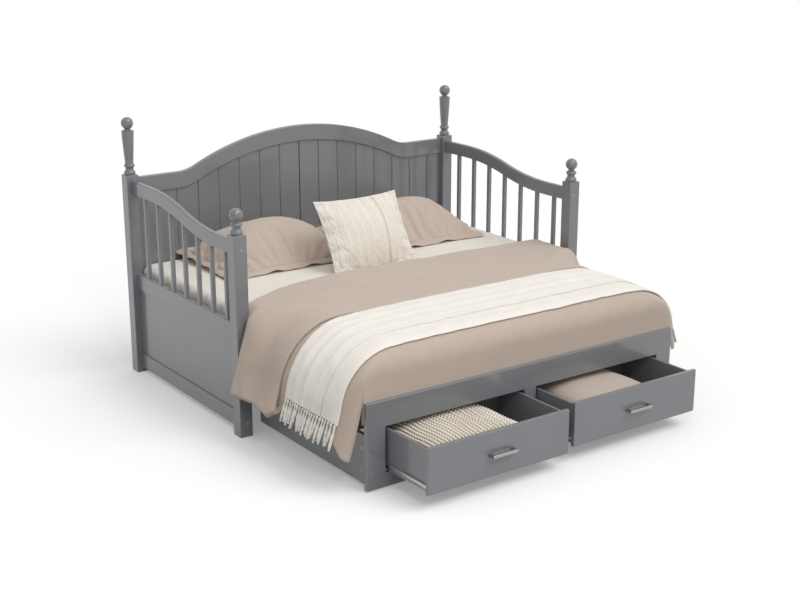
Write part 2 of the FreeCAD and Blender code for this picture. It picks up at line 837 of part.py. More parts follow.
def stile(side, low_x, width):
    board = box(side, (low_x, PANEL_FRONT, OPENING_LOW),
                (width, "front_thickness", f"{OPENING_HIGH} - {OPENING_LOW}"))
    if width == "outer_stile":
        board = softened(board, size.edge_round, on_front_end)
    tenons = [
        box(side, *stile_tenon(low_x, width, low_z))
        for low_z in (f"{OPENING_LOW} - stile_tenon", OPENING_HIGH)
    ]
    return fuse([board] + tenons)


def front_rail(low_z, height, tenon_z, rim):
    """A rail whose ends and one long face, on the rim of the front, have eased edges."""
    board = box(1, (f"-{HALF_FRONT}", PANEL_FRONT, low_z), (f"2 * {HALF_FRONT}", "front_thickness", height))
    eased = softened(board, size.edge_round, lambda edge, room: on_front_end(edge, room) or rim(edge, room))
    rooms = [
        box(side, *grown(*stile_tenon(low_x, width, tenon_z), "tenon_gap"))
        for side, low_x, width in STILES
    ]
    return cut(eased, rooms)


# The panel's bolts run into the side panels' ends and meet barrel nuts that show on the side panels
BOLT_X = f"({SIDE_X} + side_thickness / 2)"
PANEL_BOLTS = [(side, height) for side in SIDES.values() for height in ("panel_bolt_high", "panel_bolt_low")]


def panel_bolt(side, height, gap=None):
    more = gap or "0"
    at = (f"{side} * {BOLT_X}", PANEL_FRONT, height)
    head = rod(at, Y_AXIS, f"bolt_head_radius + {more}", f"bolt_head_height + {more}")
    shank = rod((at[0], f"{PANEL_FRONT} + bolt_head_height", height), Y_AXIS,
                f"bolt_radius + {more}", f"nut_setback - bolt_head_height - nut_radius + {more}")
    whole = fuse([head, shank])
    return whole if gap else cut(whole, [hex_socket(at, Y_AXIS)])


def barrel_nut(side, height, gap=None):
    more = gap or "0"
    face = f"({SIDE_X} + side_thickness + {more})"
    nut_y = f"{PANEL_FRONT} + nut_setback"
    body = rod((f"{side} * {face}", nut_y, height), X_AXIS * -side, f"nut_radius + {more}",
               f"nut_length + 2 * {more}")
    slot = box(side, (f"{face} - nut_slot_depth", f"{nut_y} - nut_radius", f"{height} - nut_slot / 2"),
               ("nut_slot_depth + cut_over", "2 * nut_radius", "nut_slot"))
    return body if gap else cut(body, [slot])


def on_bottom(edge, room):
    return edge.ZMax < room.ZMin + size.edge_round


part("trundle_top_rail", front_rail(OPENING_HIGH, "front_top_rail", OPENING_HIGH, on_top))
part("trundle_bottom_rail", front_rail("front_bottom", "front_bottom_rail", f"{OPENING_LOW} - stile_tenon",
                                       on_bottom))
part("trundle_outer_stiles", group([
    cut(stile(*STILES[number]),
        [panel_bolt(side, height, "bolt_gap") for side, height in PANEL_BOLTS if side == STILES[number][0]])
    for number in (0, 1)
]))
part("trundle_centre_stile", stile(*STILES[2]))
part("trundle_bolts", group([panel_bolt(side, height) for side, height in PANEL_BOLTS]))
part("trundle_barrel_nuts", group([barrel_nut(side, height) for side, height in PANEL_BOLTS]))


# Trundle carcass: side panels, a rear rail that stops behind the bed's front bearer, a ledger and a mid rail
REAR_RAIL_Y = "(post_size + stop_gap)"
REAR_RAIL_TOP = f"({BEARER_TOP} - stop_gap)"
CARRIER_BACK = f"({PANEL_BACK} + drawer_length)"


def rear_rail_ends(side, gap):
    low = (SIDE_X, REAR_RAIL_Y, "rear_rail_bottom")
    span = ("housing_depth", "rear_rail_thickness", "side_top - rear_rail_bottom")
    return box(side, *(grown(low, span, "tenon_gap") if gap else (low, span)))


def mid_rail_ends(side, gap):
    low = (SIDE_X, CARRIER_BACK, "carrier_bottom - tenon_shoulder")
    span = ("housing_depth", "mid_rail_thickness", "side_top - carrier_bottom")
    return box(side, *(grown(low, span, "tenon_gap") if gap else (low, span)))


for name, side in SIDES.items():
    board = box(side, (SIDE_X, PANEL_BACK, "side_bottom"),
                ("side_thickness", f"{SIDE_BACK} - {PANEL_BACK}", "side_top - side_bottom"))
    board = softened(board, size.edge_round,
                     lambda edge, room: on_top(edge, room) and edge.YLength > edge.XLength)
    rooms = [rear_rail_ends(side, True), mid_rail_ends(side, True)]
    for bolt_side, height in PANEL_BOLTS:
        if bolt_side == side:
            rooms += [fuse([panel_bolt(side, height, "bolt_gap"), barrel_nut(side, height, "bolt_gap")])]
    part(f"trundle_side_{name}", cut(board, rooms))

rear_board = box(1, (f"-{SIDE_X}", REAR_RAIL_Y, "rear_rail_bottom"),
                 (f"2 * {SIDE_X}", "rear_rail_thickness", f"{REAR_RAIL_TOP} - rear_rail_bottom"))
part("trundle_rear_rail", fuse([rear_board] + [rear_rail_ends(side, False) for side in SIDES.values()]))
mid_board = box(1, (f"-{SIDE_X}", CARRIER_BACK, "carrier_bottom - tenon_shoulder"),
                (f"2 * {SIDE_X}", "mid_rail_thickness", "mid_rail_height"))
part("trundle_mid_rail", fuse([mid_board] + [mid_rail_ends(side, False) for side in SIDES.values()]))
LEDGER_LOW = f"({OPENING_HIGH} + drawer_gap)"
part("trundle_slat_ledger", box(1, (f"-{SIDE_X}", PANEL_BACK, LEDGER_LOW),
                                (f"2 * {SIDE_X}", "ledger_depth", f"{BEARER_TOP} - {LEDGER_LOW}")))

moving_slats = fixed_slats - 1
part("trundle_slats", group([
    slat(number, (moving_slats - 1) / 2, PANEL_BACK,
         f"{SIDE_BACK} - {PANEL_BACK}", f"{BEARER_TOP} + slat_lift")
    for number in range(moving_slats)
]))


# Castors: a plate with a stub axle on each side panel, and a plain wheel
WHEEL_PLACES = {
    "front": f"({PANEL_FRONT} + front_wheel_setback)",
    "rear": f"({SIDE_BACK} - rear_wheel_setback)",
}


def castor_bracket(side, y_place):
    plate = box(side, (f"{SIDE_X} - plate_thickness", f"{y_place} - plate_length / 2", "side_bottom"),
                ("plate_thickness", "plate_length", "plate_height"))
    start = f"{side} * {SIDE_X}"
    reach = "(plate_thickness + 2 * wheel_gap + wheel_width)"
    axle = rod((start, y_place, "wheel_radius"), X_AXIS * -side, "axle_radius", reach)
    head_x = f"{side} * ({SIDE_X} - {reach})"
    head = rod((head_x, y_place, "wheel_radius"), X_AXIS * -side, "axle_radius * 2", "axle_head")
    return fuse([plate, axle, head])


def wheel(side, y_place):
    start = (f"{side} * ({SIDE_X} - plate_thickness - wheel_gap)", y_place, "wheel_radius")
    disc = rod(start, X_AXIS * -side, "wheel_radius", "wheel_width")
    bore = rod(start, X_AXIS * -side, "axle_radius + axle_gap", "wheel_width")
    return cut(disc, [bore])


part("castor_brackets", group([
    castor_bracket(side, y_place) for side in SIDES.values() for y_place in WHEEL_PLACES.values()
]))
for row, y_place in WHEEL_PLACES.items():
    part(f"{row}_wheels", group([wheel(side, y_place) for side in SIDES.values()]))


# Runner carriers behind the stiles, and the runners: a channel on the carrier and one on the drawer
CARRIERS = {
    "outer": OPENING_OUTER,
    "inner": f"({OPENING_INNER} - carrier_thickness)",
}
RUNNER_FACES = {
    "outer": (OPENING_OUTER, -1),
    "inner": (OPENING_INNER, 1),
}


def channel(side, face, inward, depth, height, low_z, low_y, opens_inward):
    """A runner member: a strip along Y with a lip above and below, open to one side."""
    low_x = face if inward > 0 else f"({face} - ({depth}))"
    strip = box(side, (low_x, low_y, low_z), (depth, "drawer_length", height))
    hollow_x = f"{low_x} + runner_wall" if opens_inward == (inward > 0) else f"{low_x} - runner_wall"
    hollow = box(side, (hollow_x, f"{low_y} - cut_over", f"{low_z} + runner_wall"),
                 (depth, "drawer_length + 2 * cut_over", f"{height} - 2 * runner_wall"))
    return cut(strip, [hollow])


part("runner_carriers", group([
    box(side, (low_x, PANEL_BACK, "carrier_bottom"), ("carrier_thickness", "drawer_length", "carrier_height"))
    for side in SIDES.values()
    for low_x in CARRIERS.values()
]))
part("cabinet_runners", group([
    channel(side, face, inward, "runner_thickness - runner_wall - runner_gap", "runner_height",
            "runner_bottom", PANEL_BACK, True)
    for side in SIDES.values()
    for face, inward in RUNNER_FACES.values()
]))


# Drawers: an inset front with a bar pull, walls around a grooved floor, and runners on the walls
BOX_INNER = f"({OPENING_INNER} + runner_thickness)"
BOX_OUTER = f"({OPENING_OUTER} - runner_thickness)"
WALL_TOP = f"({OPENING_HIGH} - drawer_gap - drawer_wall_drop)"


def drawer(name, side):
    out = f"{name}_drawer_out"
    front_y = f"({PANEL_FRONT} - {out})"
    box_y = f"({front_y} + drawer_front_thickness)"
    floor_low = f"{BOX_INNER} + drawer_wall - drawer_floor_tongue"
    floor_span = f"{BOX_OUTER} - {BOX_INNER} - 2 * drawer_wall + 2 * drawer_floor_tongue"
    floor = ((floor_low, f"{box_y} - drawer_floor_tongue", "drawer_floor_bottom"),
             (floor_span, "drawer_length - drawer_wall + 2 * drawer_floor_tongue", "drawer_floor_thickness"))
    floor_room = grown(*floor, "tenon_gap")

    front = box(side, (f"{OPENING_INNER} + drawer_gap", front_y, f"{OPENING_LOW} + drawer_gap"),
                (f"{OPENING_OUTER} - {OPENING_INNER} - 2 * drawer_gap", "drawer_front_thickness",
                 f"{OPENING_HIGH} - {OPENING_LOW} - 2 * drawer_gap"))
    eased = softened(front, size.edge_round, on_front)
    part(f"{name}_drawer_front", cut(eased, [box(side, *floor_room)]))

    wall_height = f"{WALL_TOP} - drawer_wall_bottom"
    walls = [
        box(side, (low_x, box_y, "drawer_wall_bottom"), ("drawer_wall", "drawer_length", wall_height))
        for low_x in (BOX_INNER, f"{BOX_OUTER} - drawer_wall")
    ]
    back_y = f"{box_y} + drawer_length - drawer_wall"
    walls += [box(side, (f"{BOX_INNER} + drawer_wall", back_y, "drawer_wall_bottom"),
                  (f"{BOX_OUTER} - {BOX_INNER} - 2 * drawer_wall", "drawer_wall", wall_height))]
    part(f"{name}_drawer_walls", group([
        cut(softened(wall, size.edge_round, on_top), [box(side, *floor_room)]) for wall in walls
    ]))
    part(f"{name}_drawer_floor", box(side, *floor))

    middle = f"({OPENING_INNER} + {OPENING_OUTER}) / 2"
    pull_z = f"({OPENING_LOW} + {OPENING_HIGH}) / 2 - pull_height / 2"
    bar = box(side, (f"{middle} - pull_length / 2", f"{front_y} - pull_reach", pull_z),
              ("pull_length", "pull_bar", "pull_height"))
    feet = [
        box(side, (low_x, f"{front_y} - pull_reach", pull_z), ("pull_bar", "pull_reach", "pull_height"))
        for low_x in (f"{middle} - pull_length / 2", f"{middle} + pull_length / 2 - pull_bar")
    ]
    whole = fuse([bar] + feet)
    whole.Refine = True
    part(f"{name}_drawer_pull", softened(whole, size.pull_round, on_front))

    lip = "(runner_wall + runner_gap)"
    runner_faces = [
        (f"({BOX_OUTER} + runner_thickness - {lip})", -1),
        (f"({BOX_INNER} - runner_thickness + {lip})", 1),
    ]
    part(f"{name}_drawer_runners", group([
        channel(side, face, inward, f"runner_thickness - {lip}", f"runner_height - 2 * {lip}",
                f"runner_bottom + {lip}", box_y, False)
        for face, inward in runner_faces
    ]))
    return box_y


DRAWER_BOXES = {name: drawer(name, side) for name, side in SIDES.items()}


# Mattresses: one on the fixed slats, one on the trundle's slats, with rounded edges
MATTRESS_HALF = f"({INNER_HALF} - mattress_side_gap)"
MATTRESS_PARTING_Y = "(front_thickness + mattress_parting)"
TRUNDLE_MATTRESS_LOW = f"({SLAT_TOP} + slat_lift + soft_gap)"
MATTRESS_TOP = f"({TRUNDLE_MATTRESS_LOW} + mattress_height)"


def mattress(low_y, high_y, low_z):
    block = box(1, (f"-{MATTRESS_HALF}", low_y, low_z),
                (f"2 * {MATTRESS_HALF}", f"{high_y} - {low_y}", "mattress_height"))
    return softened(block, size.mattress_edge, lambda edge, room: True)


part("daybed_mattress", mattress(MATTRESS_PARTING_Y, f"({RAIL_Y} - soft_gap)", f"({SLAT_TOP} + soft_gap)"))
TUCK_BACK = f"({PANEL_BACK} + duvet_tuck + 2 * soft_gap)"
part("trundle_mattress", mattress(TUCK_BACK, "front_thickness", TRUNDLE_MATTRESS_LOW))


# Duvet: a thick cover over the front of the bed, whose sides hang in folds and whose foot is tucked in
DUVET_LOW = f"({MATTRESS_TOP} + soft_gap)"
HEAD_SWELL_ALONG = 0.45
HEAD_SWELL_UP = 0.72
duvet_half = inner_half - size.duvet_side_gap
cover_half = duvet_half + size.drop_thickness
panel_back = size.front_thickness - size.trundle_out
head_bend = size.duvet_head_bend
head_start = (-duvet_half, size.duvet_head_left)
head_middle = (-duvet_half + head_bend, size.duvet_head_middle)
head_climb = size.duvet_head_middle - size.duvet_head_left
head_swell = (-duvet_half + head_bend * HEAD_SWELL_ALONG, size.duvet_head_left + head_climb * HEAD_SWELL_UP)
cover_steps = [
    (head_swell, head_middle),
    (duvet_half, size.duvet_head_right),
    (duvet_half, -size.drop_post_gap),
    (cover_half, -size.drop_post_gap),
    (cover_half, panel_back + size.soft_gap),
    (-cover_half, panel_back + size.soft_gap),
    (-cover_half, -size.drop_post_gap),
    (-duvet_half, -size.drop_post_gap),
]
part("duvet", padded_body("XY_Plane", head_start, cover_steps, "duvet_thickness", ("0", "0", DUVET_LOW)))


# Hanging folds: sections at the top and at the hem that swing in and out along the bed's side
fold_step = (size.drop_front - size.drop_post_gap) / size.drop_fold_count
drop_top = (size.bearer_bottom + size.bearer_height + size.slat_thickness + size.slat_lift
            + size.soft_gap + size.mattress_height)


def fold_wire(height, inner_x, thickness, fold, first, count):
    """A closed strip at one height, with arcs that bulge out and in by turns."""
    places = [-size.drop_post_gap - fold_step * number for number in range(first, first + count + 1)]

    def wavy_edge(x_place, numbers):
        edges = []
        for here, there in zip(numbers, numbers[1:]):
            bulge = fold if (min(here, there) + first) % 2 == 0 else -fold
            ends = [FreeCAD.Vector(x_place, places[number], height) for number in (here, there)]
            middle = FreeCAD.Vector(x_place + bulge, (places[here] + places[there]) / 2, height)
            edges.append(Part.Arc(ends[0], middle, ends[1]).toShape())
        return edges

    along = list(range(count + 1))
    outer = wavy_edge(inner_x + thickness, along)
    inner = wavy_edge(inner_x, along[::-1])
    far = Part.makeLine(outer[-1].Vertexes[-1].Point, FreeCAD.Vector(inner_x, places[count], height))
    near = Part.makeLine(FreeCAD.Vector(inner_x, places[0], height), outer[0].Vertexes[0].Point)
    return Part.Wire(outer + [far] + inner + [near])


def hanging_cloth(inner_x, thickness, hem, first, count):
    """Cloth that hangs from the bed's edge and flares out to its hem."""
    share = (drop_top - hem) / (drop_top - size.drop_hem)
    slack = size.drop_slack
    top = fold_wire(drop_top, inner_x, thickness, slack, first, count)
    fold = slack + (size.drop_fold - slack) * share
    low = fold_wire(hem, inner_x + size.drop_flare * share, thickness, fold, first, count)
    return Part.makeLoft([top, low], True, True)


def both_sides(shape):
    mirrored = shape.mirror(FreeCAD.Vector(), X_AXIS)
    return [drawn(shape, ("0", "0", "0")), drawn(mirrored, ("0", "0", "0"))]


fold_count = int(size.drop_fold_count)
duvet_drop = hanging_cloth(duvet_half + size.soft_gap, size.drop_thickness - size.soft_gap, size.drop_hem,
                           0, fold_count)
tuck = box(1, (f"-{MATTRESS_HALF}", f"{PANEL_BACK} + soft_gap", "duvet_tuck_low"),
           (f"2 * {MATTRESS_HALF}", "duvet_tuck", f"{MATTRESS_TOP} - duvet_tuck_low"))
part("duvet_drops", group(both_sides(duvet_drop) + [tuck]))

# Throw: a thin blanket across the duvet, with a fringed end hanging down each side
throw_first = int(size.throw_first_fold)
throw_folds = int(size.throw_fold_count)
throw_half = cover_half + size.soft_gap + size.throw_thickness
throw_back = -size.drop_post_gap - fold_step * throw_first
throw_front = throw_back - fold_step * throw_folds
throw_steps = [(throw_half, throw_back), (throw_half, throw_front), (-throw_half, throw_front)]
part("throw", padded_body("XY_Plane", (-throw_half, throw_back), throw_steps, "throw_thickness",
                          ("0", "0", f"{DUVET_LOW} + duvet_thickness + soft_gap")))
throw_drop = hanging_cloth(cover_half + size.soft_gap, size.throw_thickness, size.throw_hem,
                           throw_first, throw_folds)
part("throw_drops", group(both_sides(throw_drop)))


# Pillows and the knit cushion: lens sections, thickest in the middle, with sides drawn in between the corners

def lens_wire(x_place, chord, above, below):
    start = FreeCAD.Vector(x_place, -chord / 2, 0)
    end = FreeCAD.Vector(x_place, chord / 2, 0)
    upper = Part.Arc(start, FreeCAD.Vector(x_place, 0, above), end).toShape()
    lower = Part.Arc(end, FreeCAD.Vector(x_place, 0, -below), start).toShape()
    return Part.Wire([upper, lower])


PILLOW_BELLY = 0.25
CUSHION_BELLY = 0.5
# Shares of the length, of the full thickness and of the drawing-in at each section
PLUMP_SECTIONS = [(-0.5, 0, 0), (-0.3, 0.86, 0.8), (0, 1, 1), (0.3, 0.86, 0.8), (0.5, 0, 0)]


def plump(length, depth, crown, edge, drawn_in, belly):
    """A stuffed cover: belly is the share of the crown that lies below the seam."""
    sections = []
    for place, fullness, pull in PLUMP_SECTIONS:
        thick = edge + (crown - edge) * fullness
        chord = depth - drawn_in * pull
        sections.append(lens_wire(place * length, chord, thick * (1 - belly), thick * belly))
    return Part.makeLoft(sections, True, False)


def leaning(shape, angle, x_place, front_y=None, back_y=None):
    """A cushion turned about X, seated on the mattress, with its front or its back at a given place."""
    piece = doc.addObject("Part::Feature", "Soft")
    piece.Shape = shape
    piece.Placement = FreeCAD.Placement(FreeCAD.Vector(), FreeCAD.Rotation(X_AXIS, angle))
    room = piece.Shape.optimalBoundingBox()
    y_place = f"{front_y} - ({room.YMin})" if front_y else f"{back_y} - ({room.YMax})"
    return put(piece, (x_place, y_place, f"{BED_TOP} - ({room.ZMin})"))


BED_TOP = f"({SLAT_TOP} + 2 * soft_gap + mattress_height)"
PILLOW_LENGTH = f"((2 * {INNER_HALF} - left_pillow_gap - right_pillow_gap - pillow_parting) / 2)"
pillow_length = (2 * inner_half - size.left_pillow_gap - size.right_pillow_gap - size.pillow_parting) / 2
pillow = plump(pillow_length, size.pillow_depth, size.pillow_crown, size.pillow_edge,
               size.pillow_drawn_in, PILLOW_BELLY)
for name, side in SIDES.items():
    middle = f"{side} * ({INNER_HALF} - {name}_pillow_gap - {PILLOW_LENGTH} / 2)"
    part(f"{name}_pillow", leaning(pillow.copy(), size.pillow_tilt, middle,
                                   back_y=f"{PANEL_Y} - soft_gap"))
cushion = plump(size.cushion_width, size.cushion_height, size.cushion_crown, size.cushion_edge,
                size.pillow_drawn_in, CUSHION_BELLY)
part("knit_cushion", leaning(cushion, 90 - size.cushion_lean, "cushion_x", front_y="cushion_front"))


# Folded blankets in the drawers, with round folds at the ends and a soft crown

opening_inner = size.centre_stile / 2
opening_outer = front_half - size.outer_stile
BLANKETS = {
    "left": (size.left_blanket_inner_gap, size.left_blanket_outer_gap, size.left_blanket_height),
    "right": (size.right_blanket_inner_gap, size.right_blanket_outer_gap, size.right_blanket_height),
}


def folded_blanket(name, side, box_y):
    inner_gap, outer_gap, high = BLANKETS[name]
    wall = size.runner_thickness + size.drawer_wall
    inner = opening_inner + wall + inner_gap
    outer = opening_outer - wall - outer_gap
    half = (outer - inner) / 2
    edge = size.blanket_edge
    turn = edge * (1 - math.sqrt(0.5))
    start = (-half + edge, 0)
    steps = [
        (half - edge, 0),
        ((half - turn, turn), (half, edge)),
        (half, high - edge),
        ((half - turn, high - turn), (half - edge, high)),
        ((0, high + size.blanket_crown), (-half + edge, high)),
        ((-half + turn, high - turn), (-half, high - edge)),
        (-half, edge),
        ((-half + turn, turn), start),
    ]
    low = (f"{side * (inner + outer) / 2}", f"{box_y} + blanket_setback",
           "drawer_floor_bottom + drawer_floor_thickness + soft_gap")
    return padded_body("XZ_Plane", start, steps, "blanket_depth", low)


for name, side in SIDES.items():
    part(f"{name}_drawer_blanket", folded_blanket(name, side, DRAWER_BOXES[name]))


# Check every object, then write one file for each piece
doc.recompute()
for item in doc.Objects:
    if "Invalid" in item.State or "Error" in item.State:
        raise RuntimeError(f"{item.Label} failed: {item.State}")
for label, piece in parts.items():
    if piece.Shape.isNull() or not piece.Shape.isValid():
        raise RuntimeError(f"{label} has no valid shape")

os.makedirs("parts", exist_ok=True)
for label, piece in parts.items():
    piece.Shape.exportStep(os.path.join("parts", label + ".step"))
print(len(parts), "pieces written")
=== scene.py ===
import math

import bpy
import numpy as np
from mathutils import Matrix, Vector, noise


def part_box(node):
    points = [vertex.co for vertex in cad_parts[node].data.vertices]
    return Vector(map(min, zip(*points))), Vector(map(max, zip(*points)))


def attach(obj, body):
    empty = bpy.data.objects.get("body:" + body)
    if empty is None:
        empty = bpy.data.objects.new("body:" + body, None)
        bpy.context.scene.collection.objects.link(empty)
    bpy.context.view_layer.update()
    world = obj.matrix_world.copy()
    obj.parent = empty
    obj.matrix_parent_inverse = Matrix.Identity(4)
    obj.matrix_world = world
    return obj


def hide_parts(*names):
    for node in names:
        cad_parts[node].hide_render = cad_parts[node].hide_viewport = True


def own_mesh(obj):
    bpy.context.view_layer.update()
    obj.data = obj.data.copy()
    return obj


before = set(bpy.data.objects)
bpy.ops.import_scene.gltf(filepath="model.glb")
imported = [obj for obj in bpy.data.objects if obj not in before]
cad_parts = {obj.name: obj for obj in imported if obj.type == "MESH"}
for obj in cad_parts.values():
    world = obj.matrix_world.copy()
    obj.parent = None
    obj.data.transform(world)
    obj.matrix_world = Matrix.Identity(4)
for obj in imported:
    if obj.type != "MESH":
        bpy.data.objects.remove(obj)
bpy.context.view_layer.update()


# Posts and finials: square softwood posts with eased corners and turned finials dowelled into their tops.
# They are sprayed with a satin grey lacquer, which levels to a slight orange-peel skin
# and lies a little paler in soft patches at random.
LACQUER_GREY = (0.173, 0.180, 0.194, 1)
LACQUER_PALE = (0.200, 0.207, 0.222, 1)
LACQUER_COAT = 0.70
LACQUER_COAT_ROUGH = 0.09
PATCH_DETAIL = 5
GRAIN_DETAIL = 2


def group_sockets(group, inputs, outputs):
    for name, kind in inputs:
        group.interface.new_socket(name, in_out="INPUT", socket_type=kind)
    for name, kind in outputs:
        group.interface.new_socket(name, in_out="OUTPUT", socket_type=kind)
    return group.nodes.new("NodeGroupInput"), group.nodes.new("NodeGroupOutput")


def mottle_group():
    """Two colours mixed by soft noise, and the height of a finer noise: a skin of lacquer, nap or metal."""
    group = bpy.data.node_groups.new("surface_mottle", "ShaderNodeTree")
    inlet, outlet = group_sockets(
        group,
        [("Vector", "NodeSocketVector"), ("Patch scale", "NodeSocketFloat"),
         ("Grain scale", "NodeSocketFloat"), ("Tone", "NodeSocketColor"), ("Pale tone", "NodeSocketColor")],
        [("Colour", "NodeSocketColor"), ("Patch", "NodeSocketFloat"), ("Height", "NodeSocketFloat")])
    patch = group.nodes.new("ShaderNodeTexNoise")
    patch.inputs["Detail"].default_value = PATCH_DETAIL
    grain = group.nodes.new("ShaderNodeTexNoise")
    grain.inputs["Detail"].default_value = GRAIN_DETAIL
    mixer = group.nodes.new("ShaderNodeMix")
    mixer.data_type = "RGBA"
    link = group.links.new
    link(inlet.outputs["Vector"], patch.inputs["Vector"])
    link(inlet.outputs["Vector"], grain.inputs["Vector"])
    link(inlet.outputs["Patch scale"], patch.inputs["Scale"])
    link(inlet.outputs["Grain scale"], grain.inputs["Scale"])
    link(patch.outputs["Fac"], mixer.inputs["Factor"])
    link(inlet.outputs["Tone"], mixer.inputs["A"])
    link(inlet.outputs["Pale tone"], mixer.inputs["B"])
    link(mixer.outputs["Result"], outlet.inputs["Colour"])
    link(patch.outputs["Fac"], outlet.inputs["Patch"])
    link(grain.outputs["Fac"], outlet.inputs["Height"])
    return group


surface_mottle = mottle_group()


def coated(name, tone, pale, patch, grain, stretch=(1, 1, 1), metal=0.0, rough=(0.4, 0.5),
           bump=0.1, depth=0.0003):
    """A material with the mottle's colour, gloss and bump, stretched along the way it was worked."""
    material = bpy.data.materials.new(name)
    material.use_nodes = True
    nodes = material.node_tree.nodes
    link = material.node_tree.links.new
    shader = nodes["Principled BSDF"]
    shader.inputs["Metallic"].default_value = metal
    place = nodes.new("ShaderNodeTexCoord")
    turn = nodes.new("ShaderNodeMapping")
    turn.inputs["Scale"].default_value = stretch
    skin = nodes.new("ShaderNodeGroup")
    skin.node_tree = surface_mottle
    skin.inputs["Patch scale"].default_value = patch
    skin.inputs["Grain scale"].default_value = grain
    skin.inputs["Tone"].default_value = tone
    skin.inputs["Pale tone"].default_value = pale
    gloss = nodes.new("ShaderNodeMapRange")
    gloss.inputs["To Min"].default_value = rough[0]
    gloss.inputs["To Max"].default_value = rough[1]
    relief = nodes.new("ShaderNodeBump")
    relief.inputs["Strength"].default_value = bump
    relief.inputs["Distance"].default_value = depth
    link(place.outputs["Object"], turn.inputs["Vector"])
    link(turn.outputs["Vector"], skin.inputs["Vector"])
    link(skin.outputs["Colour"], shader.inputs["Base Color"])
    link(skin.outputs["Patch"], gloss.inputs["Value"])
    link(gloss.outputs["Result"], shader.inputs["Roughness"])
    link(skin.outputs["Height"], relief.inputs["Height"])
    link(relief.outputs["Normal"], shader.inputs["Normal"])
    return material


def give_finish(material, *names):
    for name in names:
        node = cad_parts[name]
        node.data.materials.clear()
        node.data.materials.append(material)


lacquer = coated("satin_grey_lacquer", LACQUER_GREY, LACQUER_PALE, patch=5, grain=420,
                 rough=(0.27, 0.36), bump=0.08)
lacquer_shader = lacquer.node_tree.nodes["Principled BSDF"]
lacquer_shader.inputs["Coat Weight"].default_value = LACQUER_COAT
lacquer_shader.inputs["Coat Roughness"].default_value = LACQUER_COAT_ROUGH
give_finish(lacquer, "front_post_left", "front_post_right", "back_post_left", "back_post_right",
            "back_finials", "front_finials")


# Back: a top rail bandsawn to a long curve, a straight lower rail and two panels of grooved board
# that stand in grooves, with a batten behind their joint. All of it has the posts' lacquer.
give_finish(lacquer, "back_top_rail", "back_lower_rail", "back_panel_left", "back_panel_right",
            "back_panel_batten")


# Arms: swept top rails, square spindles, and a plain panel between the middle and the bottom rail,
# tenoned into the posts and lacquered with them.
give_finish(lacquer, "arm_top_rails", "arm_middle_rails", "arm_bottom_rails", "arm_panels",
            "left_arm_spindles", "right_arm_spindles")


# Slats and bearers: planed pine, left bare, with the grain along each board.
# The bearers run along the bed, the slats across it and in between each other.
PINE = (0.56, 0.40, 0.23, 1)
PINE_PALE = (0.70, 0.55, 0.36, 1)
PINE_ROUGH = (0.5, 0.65)
PINE_BUMP = 0.2
pine_across = coated("pine_across", PINE, PINE_PALE, patch=9, grain=300, stretch=(6, 0.35, 6),
                     rough=PINE_ROUGH, bump=PINE_BUMP)
pine_along = coated("pine_along", PINE, PINE_PALE, patch=9, grain=300, stretch=(0.35, 6, 6),
                    rough=PINE_ROUGH, bump=PINE_BUMP)
give_finish(pine_across, "daybed_slats", "trundle_slats")
give_finish(pine_along, "back_slat_bearer", "front_slat_bearer", "trundle_slat_ledger")


# Bolts and barrel nuts: steel with a yellow zinc plating. They draw the frame and the trundle together,
# and their heads lie sunk flush in the lacquered wood.
YELLOW_ZINC = (0.36, 0.30, 0.21, 1)
YELLOW_ZINC_PALE = (0.52, 0.45, 0.34, 1)
yellow_zinc = coated("yellow_zinc", YELLOW_ZINC, YELLOW_ZINC_PALE, patch=160, grain=900, metal=1.0,
                     rough=(0.3, 0.45))
give_finish(yellow_zinc, "frame_bolts", "trundle_bolts", "trundle_barrel_nuts")


# Trundle: a lacquered front of rails and stiles, side panels, rear and mid rails, and runner carriers.
# It is bolted at the front and housed at the back, and rolls out of the bed.
give_finish(lacquer, "trundle_top_rail", "trundle_bottom_rail", "trundle_outer_stiles",
            "trundle_centre_stile", "trundle_side_left", "trundle_side_right", "trundle_rear_rail",
            "trundle_mid_rail", "runner_carriers")


# Castors and runners: moulded nylon wheels on axles that are riveted to zinc-plated plates,
# and the drawers' steel slides with the same plating.
NYLON = (0.05, 0.05, 0.055, 1)
NYLON_PALE = (0.075, 0.075, 0.08, 1)
ZINC = (0.52, 0.53, 0.55, 1)
ZINC_PALE = (0.70, 0.71, 0.72, 1)
nylon = coated("moulded_nylon", NYLON, NYLON_PALE, patch=40, grain=600, rough=(0.42, 0.55), bump=0.15)
bright_zinc = coated("bright_zinc", ZINC, ZINC_PALE, patch=60, grain=700, metal=1.0, rough=(0.28, 0.42))
give_finish(nylon, "front_wheels", "rear_wheels")
give_finish(bright_zinc, "castor_brackets", "cabinet_runners", "left_drawer_runners", "right_drawer_runners")


# Drawers: lacquered fronts and walls round a lacquered board floor, with bar pulls of satin nickel
# that are brushed along their length and screwed on from behind.
NICKEL = (0.33, 0.325, 0.32, 1)
NICKEL_PALE = (0.45, 0.445, 0.435, 1)
satin_nickel = coated("satin_nickel", NICKEL, NICKEL_PALE, patch=90, grain=1400, stretch=(0.06, 1, 1),
                      metal=1.0, rough=(0.26, 0.38))
for hand in ("left", "right"):
    give_finish(lacquer, f"{hand}_drawer_front", f"{hand}_drawer_walls", f"{hand}_drawer_floor")
    give_finish(satin_nickel, f"{hand}_drawer_pull")


# Daybed mattress: a foam block in a fitted cream cotton sheet. The sheet is smooth on top, and its elastic
# hem draws it into soft upright gathers at the two ends, which show between the spindles.
SHEET_CREAM = (0.735, 0.685, 0.62, 1)
SHEET_PALE = (0.785, 0.74, 0.68, 1)
MATTRESS_STEP = 0.014
MATTRESS_EDGE = 0.034
GATHER_WAVE = 38
GATHER_DEPTH = 0.013
PUCKER_WAVE = 83
PUCKER_DEPTH = 0.004
END_ROOM = 0.006
CORNER_PULL = 0.014


